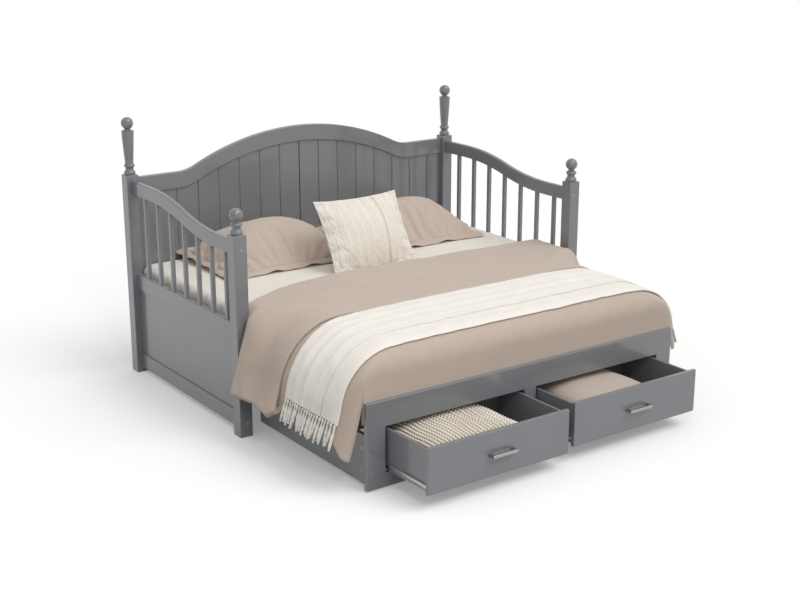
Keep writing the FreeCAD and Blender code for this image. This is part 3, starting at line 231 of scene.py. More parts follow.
def woven(name, tone, pale, thread, bump, depth, nap):
    """A cloth of fine threads, with slubs and a soft nap."""
    material = coated(name, tone, pale, patch=14, grain=thread, rough=(0.86, 0.96), bump=bump, depth=depth)
    shader = material.node_tree.nodes["Principled BSDF"]
    shader.inputs["Specular IOR Level"].default_value = 0.2
    shader.inputs["Sheen Weight"].default_value = nap
    shader.inputs["Sheen Roughness"].default_value = 0.5
    return material


def wander(points, scale, shift=0.0):
    """Smooth noise at each point, from about -1 to 1."""
    flat = points.reshape(-1, 3) * scale + shift
    return np.array([noise.noise(Vector(place)) for place in flat]).reshape(points.shape[:-1])


def ease(low, high, value):
    share = np.clip((np.asarray(value, float) - low) / (high - low), 0, 1)
    return share * share * (3 - 2 * share)


def apply_all(piece):
    bpy.ops.object.select_all(action="DESELECT")
    bpy.context.view_layer.objects.active = piece
    piece.select_set(True)
    for modifier in list(piece.modifiers):
        bpy.ops.object.modifier_apply(modifier=modifier.name)


def places_of(piece):
    places = np.empty(len(piece.data.vertices) * 3)
    piece.data.vertices.foreach_get("co", places)
    return places.reshape(-1, 3)


def facings_of(piece):
    facings = np.empty(len(piece.data.vertices) * 3)
    piece.data.vertex_normals.foreach_get("vector", facings)
    return facings.reshape(-1, 3)


def put_places(piece, places):
    piece.data.vertices.foreach_set("co", np.ascontiguousarray(places).ravel())
    piece.data.update()


def smoothed(piece, levels):
    smoother = piece.modifiers.new("smoother", "SUBSURF")
    smoother.levels = smoother.render_levels = levels
    apply_all(piece)
    bpy.ops.object.shade_smooth()


def sheeted_block(node):
    """A block with rounded edges and evenly spread points, to be pressed and gathered."""
    low, high = (np.array(corner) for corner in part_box(node))
    bpy.ops.object.select_all(action="DESELECT")
    bpy.ops.mesh.primitive_cube_add(size=1, location=(low + high) / 2)
    piece = bpy.context.object
    piece.name = node + "_sheeted"
    piece.data.name = piece.name
    piece.scale = high - low
    bpy.ops.object.transform_apply(location=True, rotation=True, scale=True)
    rounding = piece.modifiers.new("rounding", "BEVEL")
    rounding.width = MATTRESS_EDGE
    rounding.segments = 6
    apply_all(piece)
    spread = piece.modifiers.new("spread", "REMESH")
    spread.mode = "VOXEL"
    spread.voxel_size = MATTRESS_STEP
    apply_all(piece)
    return piece, low, high


def dress_mattress(piece, node, body):
    smoothed(piece, levels=1)
    piece.data.materials.clear()
    piece.data.materials.append(sheet_cotton)
    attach(piece, body)
    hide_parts(node)


sheet_cotton = woven("cream_sheet_cotton", SHEET_CREAM, SHEET_PALE, thread=900, bump=0.25, depth=0.0006,
                     nap=0.15)
block, low, high = sheeted_block("daybed_mattress")
places, facings = places_of(block), facings_of(block)
centred = (places - (low + high) / 2) / ((high - low) / 2)
upright = 1 - np.abs(facings[:, 2])
along = places[:, 0] + places[:, 1]
gather = np.abs(np.sin(along * GATHER_WAVE + 1.3 * wander(places, 4)))
pucker = np.abs(np.sin(along * PUCKER_WAVE + 1.6 * wander(places, 6, 3.0)))
drawn_in = 0.011 - 0.008 * ease(0.80, 0.94, places[:, 1])
pleat = GATHER_DEPTH * gather + PUCKER_DEPTH * pucker - drawn_in
pleat = pleat * facings[:, 0] ** 2 * ease(-1.3, 0.2, centred[:, 2])
creases = 0.0022 * wander(places * np.array((1.0, 2.2, 1.0)), 7, 4.0) * (1 - upright)
places += facings * (pleat + creases - 0.0015 * (1 - upright))[:, None]
corner = ease(0.95, 1.0, np.abs(centred[:, 0])) * ease(0.92, 1.0, np.abs(centred[:, 1]))
places[:, :2] += CORNER_PULL * np.sign(centred[:, :2]) * corner[:, None]
end_room = END_ROOM + END_ROOM * ease(0.84, 0.96, places[:, 1])
places[:, 0] = np.clip(places[:, 0], low[0] - end_room, high[0] + end_room)
places[:, 1:] = np.clip(places[:, 1:], low[1:], high[1:] + np.array((0, 0.001)))
put_places(block, places)
dress_mattress(block, "daybed_mattress", "daybed")


# Duvet: a thick taupe cotton cover, folded back so that its head half lies double, with a soft roll there.
# It bends over the mattress's ends in a wide curve and hangs down both sides, less far on the right one.
# It is split at the front corners, and its foot is tucked in behind the trundle's front.
TAUPE = (0.475, 0.388, 0.328, 1)
TAUPE_PALE = (0.53, 0.440, 0.376, 1)
COVER_TOP = 0.590
COVER_THICK = 0.018
FOLD_LIFT = 0.018
FOLD_LINE = -0.300
COVER_HALF = 0.968
POST_HALF = 0.9465
CORNER_HALF = 0.878
WIDE_BEND = 0.30
TIGHT_BEND = 0.060
SIDE_TURN = math.radians(78)
PARTING_TURN = math.radians(54)
FRONT_FACE = -0.8004
FRONT_BEND = 0.10
FRONT_TURN = FRONT_FACE + FRONT_BEND
FRONT_FALL = FRONT_TURN - FRONT_BEND * math.pi / 2
TUCK_END = FRONT_FALL - 0.145
DROP_BACK = -0.006
HEM_Z = 0.190
HEM_RISE = 0.068
HEM_DIP = 0.030
RIGHT_RISE = 0.080
RIGHT_CORNER_RISE = 0.045
HANG_FALL = 0.98
HANG_FOLD = 0.011
SIDE_FLARE = 0.054
POST_FLARE = 0.030
LEFT_CORNER_FLARE = 0.016
RIGHT_CORNER_FLARE = 0.044
FREE_EDGE_ROUND = 0.012
UPPER_RISE_BACK = 0.050
UPPER_RISE_EASED = 0.035
FOLD_HEM_RISE = 0.040
FOLD_SWAY = 0.040
NOSE = 0.030
HEAD_X = np.array([-0.95, -0.90, -0.80, -0.657, -0.50, -0.305, 0.0, 0.40, 0.95])
HEAD_Y = np.array([0.035, 0.085, 0.150, 0.218, 0.262, 0.288, 0.285, 0.262, 0.222])
HEAD_SMOOTH = np.linspace(-0.09, 0.09, 13)


def cloth_from(name, points, relief=None):
    """A grid of cloth bent to a table of points, rows along it and columns across it, its rims sewn."""
    rows, columns = points.shape[:2]
    bpy.ops.object.select_all(action="DESELECT")
    bpy.ops.mesh.primitive_grid_add(x_subdivisions=columns - 1, y_subdivisions=rows - 1, size=1)
    piece = bpy.context.object
    piece.name = name
    piece.data.name = name
    flat = places_of(piece)
    column = np.rint((flat[:, 0] + 0.5) * (columns - 1)).astype(int)
    row = np.rint((flat[:, 1] + 0.5) * (rows - 1)).astype(int)
    put_places(piece, points[row, column])
    # A knit's relief is kept as the share of shade painted into its hollows.
    if relief is not None:
        note_painted_shade(piece, relief[row, column])
    bpy.ops.object.mode_set(mode="EDIT")
    bpy.ops.mesh.select_all(action="SELECT")
    bpy.ops.mesh.remove_doubles(threshold=1e-5)
    bpy.ops.mesh.normals_make_consistent(inside=False)
    bpy.ops.object.mode_set(mode="OBJECT")
    bpy.ops.object.shade_smooth_by_angle(angle=math.radians(55))
    return piece


def note_painted_shade(piece, relief):
    """Keep how far a knit stands out at each point, from 0 in the hollows to 1 on the strands: its material
    paints shade into the hollows by it.
    """
    kept = piece.data.attributes.new("knit_painted_shade", "FLOAT", "POINT")
    kept.data.foreach_set("value", np.clip(relief, 0, 1).astype(np.float32))


def front_tip(along):
    """How far the cover has turned down over the foot, in radians."""
    return np.clip((FRONT_TURN - np.asarray(along, float)) / FRONT_BEND, 0, math.pi / 2)


def side_bend(along):
    """Radius of the bend over the bed's ends: tight between the posts and at the foot, wide in between."""
    wide = ease(-0.002, -0.16, along) * (1 - ease(0.0, math.pi / 2, front_tip(along)))
    return TIGHT_BEND + (WIDE_BEND - TIGHT_BEND) * wide


def cover_half(along):
    """How far out the bend ends."""
    beside_posts = POST_HALF + (COVER_HALF - POST_HALF) * ease(-0.002, -0.03, along)
    return beside_posts + (CORNER_HALF - COVER_HALF) * ease(0.0, math.pi / 2, front_tip(along))


def bend_reach(along):
    """Cloth from the middle of the bed to the end of the bend."""
    return cover_half(along) + side_bend(along) * (SIDE_TURN - math.sin(SIDE_TURN))


def edge_reach(along):
    """Cloth from the bed's middle to the parting of the top and the hanging side, high on a wide bend."""
    wide = ease(TIGHT_BEND, WIDE_BEND, side_bend(along))
    return bend_reach(along) - side_bend(along) * (SIDE_TURN - PARTING_TURN) * wide


def hang_length(along):
    bend_end = COVER_TOP - side_bend(along) * (1 - math.cos(SIDE_TURN))
    return (bend_end - FRONT_BEND * (1 - np.cos(front_tip(along))) - HEM_Z) / HANG_FALL


def hang_folds(along, side):
    """Loose upright folds along a hanging side."""
    return (0.50 * np.cos(along * 21 + 0.6 + side) + 0.32 * np.cos(along * 37 + 2.1 * side)
            + 0.18 * np.cos(along * 71 + 1.0))


def creasing(across, along):
    """How far the cover's face stands out: broad swells and a few soft creases."""
    places = np.stack([across, along, 0 * along], axis=-1)
    broad = 0.0035 * wander(places, 2.6, 3.0)
    crease = 0.0032 * (1 - 2 * np.abs(wander(places * np.array((1.0, 1.5, 1.0)), 6.5, 11.0)))
    fine = 0.0011 * wander(places, 22.0, 5.0)
    return broad + crease + fine


def bed_cover(across, along, lift=0.0):
    """Points of the cover's outer face and the ways they face. Across is measured over the cloth from the
    bed's middle, along is Y on top and goes on down the foot, lift is the height above the lower layer."""
    across, along, lift = np.broadcast_arrays(*(np.asarray(value, float) for value in (across, along, lift)))
    side = np.where(across < 0, -1.0, 1.0)
    reach = np.abs(across)
    bend = side_bend(along)
    half = cover_half(along) - bend * math.sin(SIDE_TURN)
    turn = np.clip((reach - half) / bend, 0, SIDE_TURN)
    drop = np.maximum(reach - half - bend * SIDE_TURN, 0)
    tip = front_tip(along)
    foot = tip / (math.pi / 2)
    length = hang_length(along)
    hang = np.clip(drop / length, 0, 1.15)
    slope = 1 / math.tan(SIDE_TURN)
    corner_flare = np.where(side > 0, RIGHT_CORNER_FLARE, LEFT_CORNER_FLARE)
    flare = SIDE_FLARE + POST_FLARE * ease(-0.14, 0, along) + corner_flare * foot
    x = np.minimum(reach, half) + bend * np.sin(turn) + slope * drop + (flare - slope * length) * hang ** 2
    y = np.maximum(along, FRONT_TURN) - FRONT_BEND * np.sin(tip)
    z = (COVER_TOP - FRONT_BEND * (1 - np.cos(tip)) - np.maximum(FRONT_FALL - along, 0)
         - bend * (1 - np.cos(turn)) - drop * HANG_FALL)
    forward = np.where(drop > 0, 0.25 * foot, np.sin(tip) * np.cos(turn))
    outward = np.where(drop > 0, math.sin(SIDE_TURN), np.cos(tip) * np.sin(turn))
    upward = np.where(drop > 0, math.cos(SIDE_TURN), np.cos(tip) * np.cos(turn))
    facing = np.stack([side * outward, -forward, upward], axis=-1)
    facing /= np.linalg.norm(facing, axis=-1, keepdims=True)
    stand = creasing(across, along) * (1 - 0.8 * foot) + HANG_FOLD * hang_folds(along, side) * hang ** 1.3
    stand = stand + lift * (1 + 1.1 * hang)
    return np.stack([side * x, y, z], axis=-1) + facing * stand[..., None], facing


def foot_lines():
    """Lines across the cover from the posts to the foot, with the roll of the fold: place along, lift."""
    roll = np.radians(np.linspace(0, 180, 13))
    lines = [(line, FOLD_LIFT) for line in np.linspace(-0.06, FOLD_LINE + 0.012, 20)]
    lines += [(FOLD_LINE - FOLD_LIFT / 2 * math.sin(angle), FOLD_LIFT / 2 * (1 + math.cos(angle)))
              for angle in roll]
    lines += [(line, 0.0) for line in np.linspace(FOLD_LINE - 0.003, FRONT_TURN + 0.008, 36)]
    lines += [(line, 0.0) for line in np.linspace(FRONT_TURN, FRONT_FALL, 14)]
    return lines


def cover_table():
    """Rows from the head edge to the tucked foot, columns once round the cover's thickness."""
    share = np.concatenate([[-1], np.linspace(-0.999, -0.60, 33), np.linspace(-0.59, 0.59, 100),
                            np.linspace(0.60, 0.999, 33), [1]])
    under_share = np.linspace(1, -1, 57)
    head = np.interp(share[:, None] * 0.94 + HEAD_SMOOTH, HEAD_X, HEAD_Y).mean(axis=1)
    head = head + 0.003 * np.sin(share * 17) + 0.0015 * np.sin(share * 43 + 1)
    nose = np.radians(np.linspace(0, 90, 8))
    lines = [(head - NOSE * (1 - math.cos(angle)), FOLD_LIFT, math.sin(angle)) for angle in nose]
    lines += [((head - NOSE) * (1 - step) - 0.05 * step, FOLD_LIFT, 1.0)
              for step in np.linspace(0, 1, 26)[1:]]
    lines += [(np.full_like(share, line), lift, 1.0) for line, lift in foot_lines()]
    face = np.linspace(FRONT_FALL, TUCK_END, 12)[1:]
    lines += [(np.full_like(share, line), 0.0, 1.0) for line in face]
    lines += [(np.full_like(share, TUCK_END - 0.006), 0.0, 0.75),
              (np.full_like(share, TUCK_END - 0.009), 0.0, 0.0)]
    rows = []
    for line, lift, full in lines:
        sections = []
        for shares, face_side in ((share, 1.0), (under_share, -1.0)):
            place = np.interp(shares, share, line)
            outer, facing = bed_cover(shares * edge_reach(place), place, lift)
            half_thick = facing * ((COVER_THICK + lift) / 2)
            sections.append(outer - half_thick + half_thick * face_side * full)
        rows.append(np.concatenate([sections[0], sections[1], sections[0][:1]]))
    return np.array(rows)


def side_table(side):
    """Rows along one hanging side, columns once round it from the bend down to the hem and up inside."""
    lines = [(line, FOLD_LIFT) for line in np.linspace(DROP_BACK, -0.05, 10)] + foot_lines()
    depth = np.concatenate([[0, 0.004], np.linspace(0.03, 1, 32)])
    rows = []
    for line, lift in lines:
        gap = min(DROP_BACK - line, line - FRONT_FALL)
        full = math.sqrt(1 - (1 - min(gap / FREE_EDGE_ROUND, 1)) ** 2)
        upper = lift / FOLD_LIFT
        at_fold = float(ease(FOLD_LINE + 0.05, FOLD_LINE - 0.01, line))
        hem = 0.006 * math.sin(line * 17 + side) + FOLD_HEM_RISE * upper * at_fold
        hem += upper * (UPPER_RISE_BACK - UPPER_RISE_EASED * float(ease(-0.02, FOLD_LINE, line)))
        rise, dip = HEM_RISE * float(ease(-0.80, -0.70, line)), HEM_DIP * float(ease(-0.75, -0.84, line))
        hem += (1 - upper) * (rise - dip)
        shorter = RIGHT_RISE * float(ease(-0.10, -0.32, line))
        shorter += RIGHT_CORNER_RISE * float(ease(-0.55, -0.75, line))
        hem += shorter * (side > 0)
        start, turned = float(edge_reach(line)), float(bend_reach(line))
        reach = start + depth * (turned + float(hang_length(line)) - hem - start)
        outer, facing = bed_cover(side * reach, line, lift)
        fallen = np.clip((reach - turned) / max(reach[-1] - turned, 0.01), 0, 1)
        outer[:, 1] -= FOLD_SWAY * fallen ** 1.5 * upper * float(ease(-0.08, FOLD_LINE, line))
        half_thick = facing * ((COVER_THICK + lift) / 2)
        centre = outer - half_thick
        half_thick = half_thick * max(full, 0.02)
        curl = np.radians(np.linspace(15, 165, 7))[:, None]
        down = np.array((0.0, 0.0, -1.0)) * np.linalg.norm(half_thick[-1])
        hem_roll = centre[-1] + half_thick[-1] * np.cos(curl) + down * np.sin(curl)
        outer = centre + half_thick
        rows.append(np.concatenate([outer, hem_roll, (centre - half_thick)[::-1], outer[:1]]))
    return np.array(rows)


def dress(piece, cloth, node, body):
    piece.data.materials.clear()
    piece.data.materials.append(cloth)
    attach(piece, body)
    if node:
        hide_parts(node)


taupe_cotton = woven("taupe_cotton", TAUPE, TAUPE_PALE, thread=700, bump=0.30, depth=0.0006, nap=0.25)
duvet = cloth_from("duvet_cover", cover_table())
dress(duvet, taupe_cotton, "duvet", "daybed")
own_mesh(duvet)
for hand, side in (("left", -1), ("right", 1)):
    hanging = cloth_from(f"duvet_{hand}_drop", side_table(side))
    dress(hanging, taupe_cotton, "duvet_drops", "trundle")
    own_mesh(hanging)


# Trundle mattress: a second block in the same sheet, which fills the bed out to full width.
# The duvet presses it down round its ends and along the foot.
UNDER_COVER = 0.008
FLATTEST, FULLEST = 0.12, 0.985
block, low, high = sheeted_block("trundle_mattress")
places = places_of(block)
bend = side_bend(places[:, 1])
flat_half = cover_half(places[:, 1]) - bend * math.sin(SIDE_TURN)
past = np.clip((np.abs(places[:, 0]) - flat_half) / bend, 0, 0.995)
over_foot = np.clip((FRONT_TURN - places[:, 1]) / FRONT_BEND, 0, 0.995)
room = (COVER_TOP - COVER_THICK - UNDER_COVER - bend * (1 - np.sqrt(1 - past ** 2))
        - FRONT_BEND * (1 - np.sqrt(1 - over_foot ** 2)))
squeeze = np.clip((room - low[2]) / (high[2] - low[2]), FLATTEST, FULLEST)
places[:, 2] = low[2] + (places[:, 2] - low[2]) * squeeze
put_places(block, places)
dress_mattress(block, "trundle_mattress", "trundle")
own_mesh(block)


# Throw: a soft cream blanket folded lengthways in three and laid across the duvet, its upper layer short
# of the front edge. Its ends hang over both sides of the bed and finish in knotted tassels.
THROW_CREAM = (0.80, 0.755, 0.69, 1)
THROW_PALE = (0.86, 0.82, 0.765, 1)
THROW_BACK = -0.311
THROW_FRONT = -0.738
THROW_LAYER = 0.0034
THROW_SKIN = 0.0022
THROW_SHARE = 0.72
THROW_SPREAD_BACK = 0.058
THROW_SPREAD_FRONT = 0.016
THROW_HEM = 1.128
THROW_RIDGES = ((0.17, 0.0045, 0.040), (0.36, 0.0060, 0.030), (0.55, 0.0040, 0.035))
TASSEL_LENGTH = 0.105
TASSEL_PITCH = 0.0185


def throw_lines(across):
    """Where the throw's back and front edges lie, for each place across the bed."""
    spread = ease(0.45, 1.05, np.abs(across))
    return THROW_BACK - THROW_SPREAD_BACK * spread, THROW_FRONT - THROW_SPREAD_FRONT * spread


def throw_section():
    """The folded blanket's path from back to front and back again: share of the width, and layer."""
    there = np.linspace(0, 1, 34)
    turn = np.radians(np.linspace(-72, 72, 5))
    bulge = THROW_LAYER / 2 / (THROW_BACK - THROW_FRONT)
    path = [(share, 1.0) for share in there[::2]]
    path += [(1 + bulge * math.cos(angle), 1.5 + 0.5 * math.sin(angle)) for angle in turn]
    path += [(share, 2.0) for share in there[::-1]]
    path += [(-bulge * math.cos(angle), 2.5 + 0.5 * math.sin(angle)) for angle in turn]
    path += [(share * THROW_SHARE, 3.0) for share in there]
    return np.array(path)


def throw_table(across):
    """Rows across the bed, columns along the folded section, with long soft creases in the upper layers."""
    path = throw_section()
    rows = []
    for place in across:
        back, front = throw_lines(place)
        along = back + (front - back) * path[:, 0]
        points, facing = bed_cover(np.full(len(path), place), along)
        spots = np.stack([np.full(len(path), place * 1.3), along * 22, path[:, 1]], axis=-1)
        slack = (0.0016 * wander(spots, 1.0, 2.0) + 0.0008) * (path[:, 1] > 1.9)
        for ridge, height, width in THROW_RIDGES:
            sway = 0.012 * math.sin(place * 3.1 + ridge * 20)
            slack += height * np.exp(-((path[:, 0] - ridge - sway) / width) ** 2) * (path[:, 1] > 2.9)
        rows.append(points + facing * (path[:, 1] * THROW_LAYER + THROW_SKIN + slack)[:, None])
    return np.array(rows)


def tassel_table(root, tip, seed):
    """One tassel: a knot, a waist and a bundle of twisted yarn that tapers to its tip."""
    stations = np.array([0, 0.05, 0.11, 0.17, 0.45, 0.75, 0.97, 1.0])
    radii = np.array([0.0026, 0.0064, 0.0062, 0.0048, 0.0080, 0.0078, 0.0054, 0.0001])
    rows = []
    for station, radius in zip(stations, radii):
        ring = np.radians(np.arange(0, 361, 60) + 200 * station + seed * 47)
        sway = np.array((0, 0.005 * math.sin(seed * 2.3 + 3 * station), 0)) * station
        lobes = 1 + 0.18 * np.cos(ring * 3)
        section = np.stack([np.cos(ring) * lobes, np.sin(ring) * lobes, 0 * ring], axis=-1) * radius
        rows.append(root + (tip - root) * station + sway + section)
    return np.array(rows)


def join_into(first, others):
    bpy.ops.object.select_all(action="DESELECT")
    for piece in (first, *others):
        piece.select_set(True)
    bpy.context.view_layer.objects.active = first
    bpy.ops.object.join()


def lay_throw(name, across, node, body):
    piece = cloth_from(name, throw_table(across))
    skin = piece.modifiers.new("skin", "SOLIDIFY")
    skin.thickness = THROW_SKIN
    skin.offset = 0
    apply_all(piece)
    bpy.ops.object.shade_smooth_by_angle(angle=math.radians(55))
    dress(piece, throw_wool, node, body)
    return piece


throw_wool = woven("cream_throw_wool", THROW_CREAM, THROW_PALE, thread=380, bump=0.45, depth=0.0012,
                   nap=0.35)
throw_edge = float(edge_reach(-0.5))
near_edge = throw_edge - 0.001
over_bed = np.concatenate([[-throw_edge], np.linspace(-near_edge, near_edge, 160), [throw_edge]])
throw = lay_throw("throw_blanket", over_bed, "throw", "daybed")
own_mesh(throw)
for hand, side in (("left", -1), ("right", 1)):
    hem_reach = THROW_HEM - RIGHT_RISE * (side > 0)
    to_hem = np.linspace(throw_edge + 0.010, hem_reach, 18)
    down_side = np.concatenate([[throw_edge, throw_edge + 0.001], to_hem])
    hanging = lay_throw(f"throw_{hand}_drop", side * down_side, "throw_drops", "trundle")
    back, front = throw_lines(side * hem_reach)
    count = int((back - front) / TASSEL_PITCH)
    tassels = []
    for number in range(count):
        share = (number + 0.5) / count
        layer = 3.0 if share < THROW_SHARE else 2.0
        line = back + (front - back) * share
        root, facing = bed_cover(side * hem_reach, line)
        tip, _ = bed_cover(side * (hem_reach + TASSEL_LENGTH * (1 + 0.06 * math.sin(number * 3.7))), line)
        tip = tip + facing * (0.010 + 0.003 * math.sin(number * 1.7))
        tip[1] += 0.005 * math.sin(number * 2.9)
        tassels.append(cloth_from("tassel", tassel_table(root + facing * layer * THROW_LAYER, tip, number)))
    fringe = tassels[0]
    join_into(fringe, tassels[1:])
    fringe.name = f"throw_{hand}_fringe"
    fringe.data.name = fringe.name
    dress(fringe, throw_wool, None, "trundle")
    for piece in (hanging, fringe):
        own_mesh(piece)


# Pillows: feather-filled taupe cases with a flat flange sewn round the rim, lying against the grooved back.
# Each case is two faces of cloth, sewn together and blown up by the filling, so it puckers along the seam.
FLANGE = 0.028
FLANGE_THICK = 0.004
FLANGE_DROOP = 0.014
PILLOW_DEPTH = 0.570
PILLOW_TILT = math.radians(3)
PILLOW_RISE = 0.178
PILLOW_BELLY = 0.060
PILLOW_REST = 0.034
PILLOW_DRAWN_IN = 0.011
PILLOW_SPARE = 0.07
FILL_STEPS = 24


def case_rim(across, up, width, depth, drawn_in):
    """The sewn outline, with its sides drawn in between the corners."""
    return (across * (width / 2 - drawn_in * (1 - up ** 2)), up * (depth / 2 - drawn_in * (1 - across ** 2)))


def sewn_case(name, width, depth, columns, rows, crown, drawn_in):
    """Two faces of cloth sewn along their rim, one on the other, with the filling still slack."""
    across = np.linspace(-1, 1, columns)
    across = np.concatenate([across, across[-2::-1]])
    face = np.concatenate([np.ones(columns), -np.ones(columns - 1)])
    table = []
    for up in np.linspace(-1, 1, rows):
        dome = np.maximum((1 - across ** 2) * (1 - up ** 2), 0)
        x, y = case_rim(across, up, width, depth, drawn_in)
        table.append(np.stack([x, y, face * crown * dome ** 0.5], axis=-1))
    return cloth_from(name, np.array(table))


def blow_up(piece, pressure, spare):
    """Fill the case: the cloth, cut with some to spare, swells between its seams and puckers along them."""
    rim = piece.vertex_groups.new(name="seam")
    heights = np.abs(places_of(piece)[:, 2])
    rim.add([int(index) for index in np.flatnonzero(heights < 1e-6)], 1.0, "REPLACE")
    filling = piece.modifiers.new("filling", "CLOTH")
    cloth = filling.settings
    cloth.quality = 6
    cloth.mass = 0.2
    cloth.tension_stiffness = cloth.compression_stiffness = 20
    cloth.shear_stiffness = 8
    cloth.bending_stiffness = 0.3
    cloth.shrink_min = -spare
    cloth.vertex_group_mass = "seam"
    cloth.use_pressure = True
    cloth.uniform_pressure_force = pressure
    cloth.effector_weights.gravity = 0
    filling.point_cache.frame_end = FILL_STEPS
    for step in range(1, FILL_STEPS + 1):
        bpy.context.scene.frame_set(step)
    apply_all(piece)
    bpy.context.scene.frame_set(1)


def plump_to(piece, rise, belly, rest):
    """Bring the two faces to their heights about the seam, and flatten the lower one where it rests."""
    places = places_of(piece)
    height = places[:, 2]
    under = rest * np.tanh(height * belly / -height.min() / rest)
    places[:, 2] = np.where(height > 0, height * rise / height.max(), under)
    put_places(piece, places)


def seat_in(piece, tilt, low, high, hold_back):
    """Turn a case about its long axis, then seat it on the bed in its place, by its back or its front."""
    places = places_of(piece)
    y, z = places[:, 1].copy(), places[:, 2].copy()
    places[:, 1] = y * math.cos(tilt) - z * math.sin(tilt)
    places[:, 2] = y * math.sin(tilt) + z * math.cos(tilt)
    floor, ceiling = places.min(0), places.max(0)
    places[:, 0] += (low[0] + high[0]) / 2 - (floor[0] + ceiling[0]) / 2
    places[:, 1] += high[1] - ceiling[1] if hold_back else low[1] - floor[1]
    places[:, 2] += low[2] - floor[2]
    put_places(piece, places)


def flange_table(width, depth, seed):
    """A flat border all round the seam, waving a little."""
    rim = np.linspace(0, 2 * math.pi, 361)
    square = np.maximum(np.abs(np.cos(rim)), np.abs(np.sin(rim)))
    x, y = case_rim(np.cos(rim) / square, np.sin(rim) / square, width, depth, PILLOW_DRAWN_IN)
    wave = 0.005 * np.sin(rim * 11 + seed) + 0.003 * np.sin(rim * 23 + 2 * seed) - FLANGE_DROOP
    rings = []
    section = ((-0.012, 0.0), (-0.004, 1.0), (FLANGE - 0.003, 1.0), (FLANGE, 0.0),
               (FLANGE - 0.003, -1.0), (-0.004, -1.0), (-0.012, 0.0))
    for grow, lift in section:
        height = lift * FLANGE_THICK / 2 + wave * max(grow, 0) / FLANGE
        rings.append(np.stack([x * (1 + 2 * grow / width), y * (1 + 2 * grow / depth), height], axis=-1))
    return np.array(rings)


for hand, pressure in (("left", 3.0), ("right", 2.6)):
    node = f"{hand}_pillow"
    low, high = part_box(node)
    width, depth = high[0] - low[0] - 2 * FLANGE, PILLOW_DEPTH - 2 * FLANGE
    slack_height = 0.035
    pillow = sewn_case(node + "_case", width, depth, columns=60, rows=46, crown=slack_height,
                       drawn_in=PILLOW_DRAWN_IN)
    blow_up(pillow, pressure, PILLOW_SPARE)
    plump_to(pillow, PILLOW_RISE, PILLOW_BELLY, PILLOW_REST)
    smoothed(pillow, levels=1)
    join_into(pillow, [cloth_from("flange", flange_table(width, depth, pressure))])
    seat_in(pillow, PILLOW_TILT, low, high, hold_back=True)
    dress(pillow, taupe_cotton, node, "daybed")


# Cushion: a square cream cover knitted in upright cables, stuffed so that its corners stand out as ears.
# It leans back in front of the pillows with its lower edge behind the duvet.
# A darker cream painted as shade into the cushion knit's hollows.
KNIT_PAINTED_SHADE = (0.65, 0.595, 0.515, 1)
KNIT_CREAM = (0.77, 0.72, 0.645, 1)
KNIT_PALE = (0.85, 0.81, 0.745, 1)
CUSHION_HEIGHT = 0.400
CUSHION_HALF_THICK = 0.072
CUSHION_DRAWN_IN = 0.014
CUSHION_LEAN = math.radians(59)
CABLE_PITCH = 0.048
CABLE_TURN = 0.085
CABLE_SWING = 0.16
STRAND_WIDTH = 0.13
STITCH_STEP = 0.010
SEAM_PLACE = 0.086
KNIT_DEPTH = 0.0036
CUSHION_PRESSURE = 3.2
CUSHION_SPARE = 0.05


def cable_height(across, up):
    """Loose cables between plain ribs, and one deep rib line: how far the knit stands out at a place."""
    drift = np.stack([across * 9, up * 5, 0 * up], axis=-1)
    sway = wander(drift, 1.0, 7.0)
    column = (across / CABLE_PITCH + 0.35 * sway + 0.5) % 1 - 0.5
    strand = np.floor(across / CABLE_PITCH + 0.35 * sway + 0.5)
    phase = up / CABLE_TURN * 2 * math.pi + strand * 1.9 + 2 * sway
    first = np.exp(-((column - CABLE_SWING * np.sin(phase)) / STRAND_WIDTH) ** 2)
    second = np.exp(-((column + CABLE_SWING * np.sin(phase)) / STRAND_WIDTH) ** 2)
    rib = np.exp(-((np.abs(column) - 0.44) / 0.06) ** 2)
    stitch = 0.16 * np.sin(up * 2 * math.pi / STITCH_STEP)
    line = np.exp(-((across - SEAM_PLACE - 0.004 * np.sin(up * 14)) / 0.0035) ** 2)
    fullness = 0.65 + 0.35 * wander(drift, 0.7, 3.0)
    return np.maximum(first, second) * (fullness + stitch) + 0.35 * rib * (1 + stitch) - 1.5 * line


def knitted(name, hollow_shade, tone, pale, thread):
    """A woolly knit, with shade painted into the hollows between its strands."""
    material = woven(name, tone, pale, thread, bump=0.5, depth=0.0015, nap=0.3)
    nodes = material.node_tree.nodes
    link = material.node_tree.links.new
    # The stored relief mixes a dark painted shade into the knit's hollows.
    stands_out = nodes.new("ShaderNodeAttribute")
    stands_out.attribute_name = "knit_painted_shade"
    mixer = nodes.new("ShaderNodeMix")
    mixer.data_type = "RGBA"
    mixer.inputs["A"].default_value = hollow_shade
    link(stands_out.outputs["Fac"], mixer.inputs["Factor"])
    link(nodes["Group"].outputs["Colour"], mixer.inputs["B"])
    link(mixer.outputs["Result"], nodes["Principled BSDF"].inputs["Base Color"])
    return material


knit_wool = knitted("cream_cable_wool", KNIT_PAINTED_SHADE, KNIT_CREAM, KNIT_PALE, thread=520)
low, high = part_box("knit_cushion")
slack_height = 0.035
cushion = sewn_case("cable_cushion", high[0] - low[0], CUSHION_HEIGHT, columns=54, rows=46,
                    crown=slack_height, drawn_in=CUSHION_DRAWN_IN)
blow_up(cushion, CUSHION_PRESSURE, CUSHION_SPARE)
plump_to(cushion, CUSHION_HALF_THICK, CUSHION_HALF_THICK, rest=1.0)
smoothed(cushion, levels=2)
places, facings = places_of(cushion), facings_of(cushion)
stands_out = cable_height(places[:, 0], places[:, 1])
relief = KNIT_DEPTH * stands_out * ease(0.0, 0.010, np.abs(places[:, 2]))
put_places(cushion, places + facings * relief[:, None])
# The cables' heights set the shade painted into the knit's hollows.
note_painted_shade(cushion, 0.45 + 0.8 * stands_out)
seat_in(cushion, CUSHION_LEAN, low, high, hold_back=False)
dress(cushion, knit_wool, "knit_cushion", "daybed")
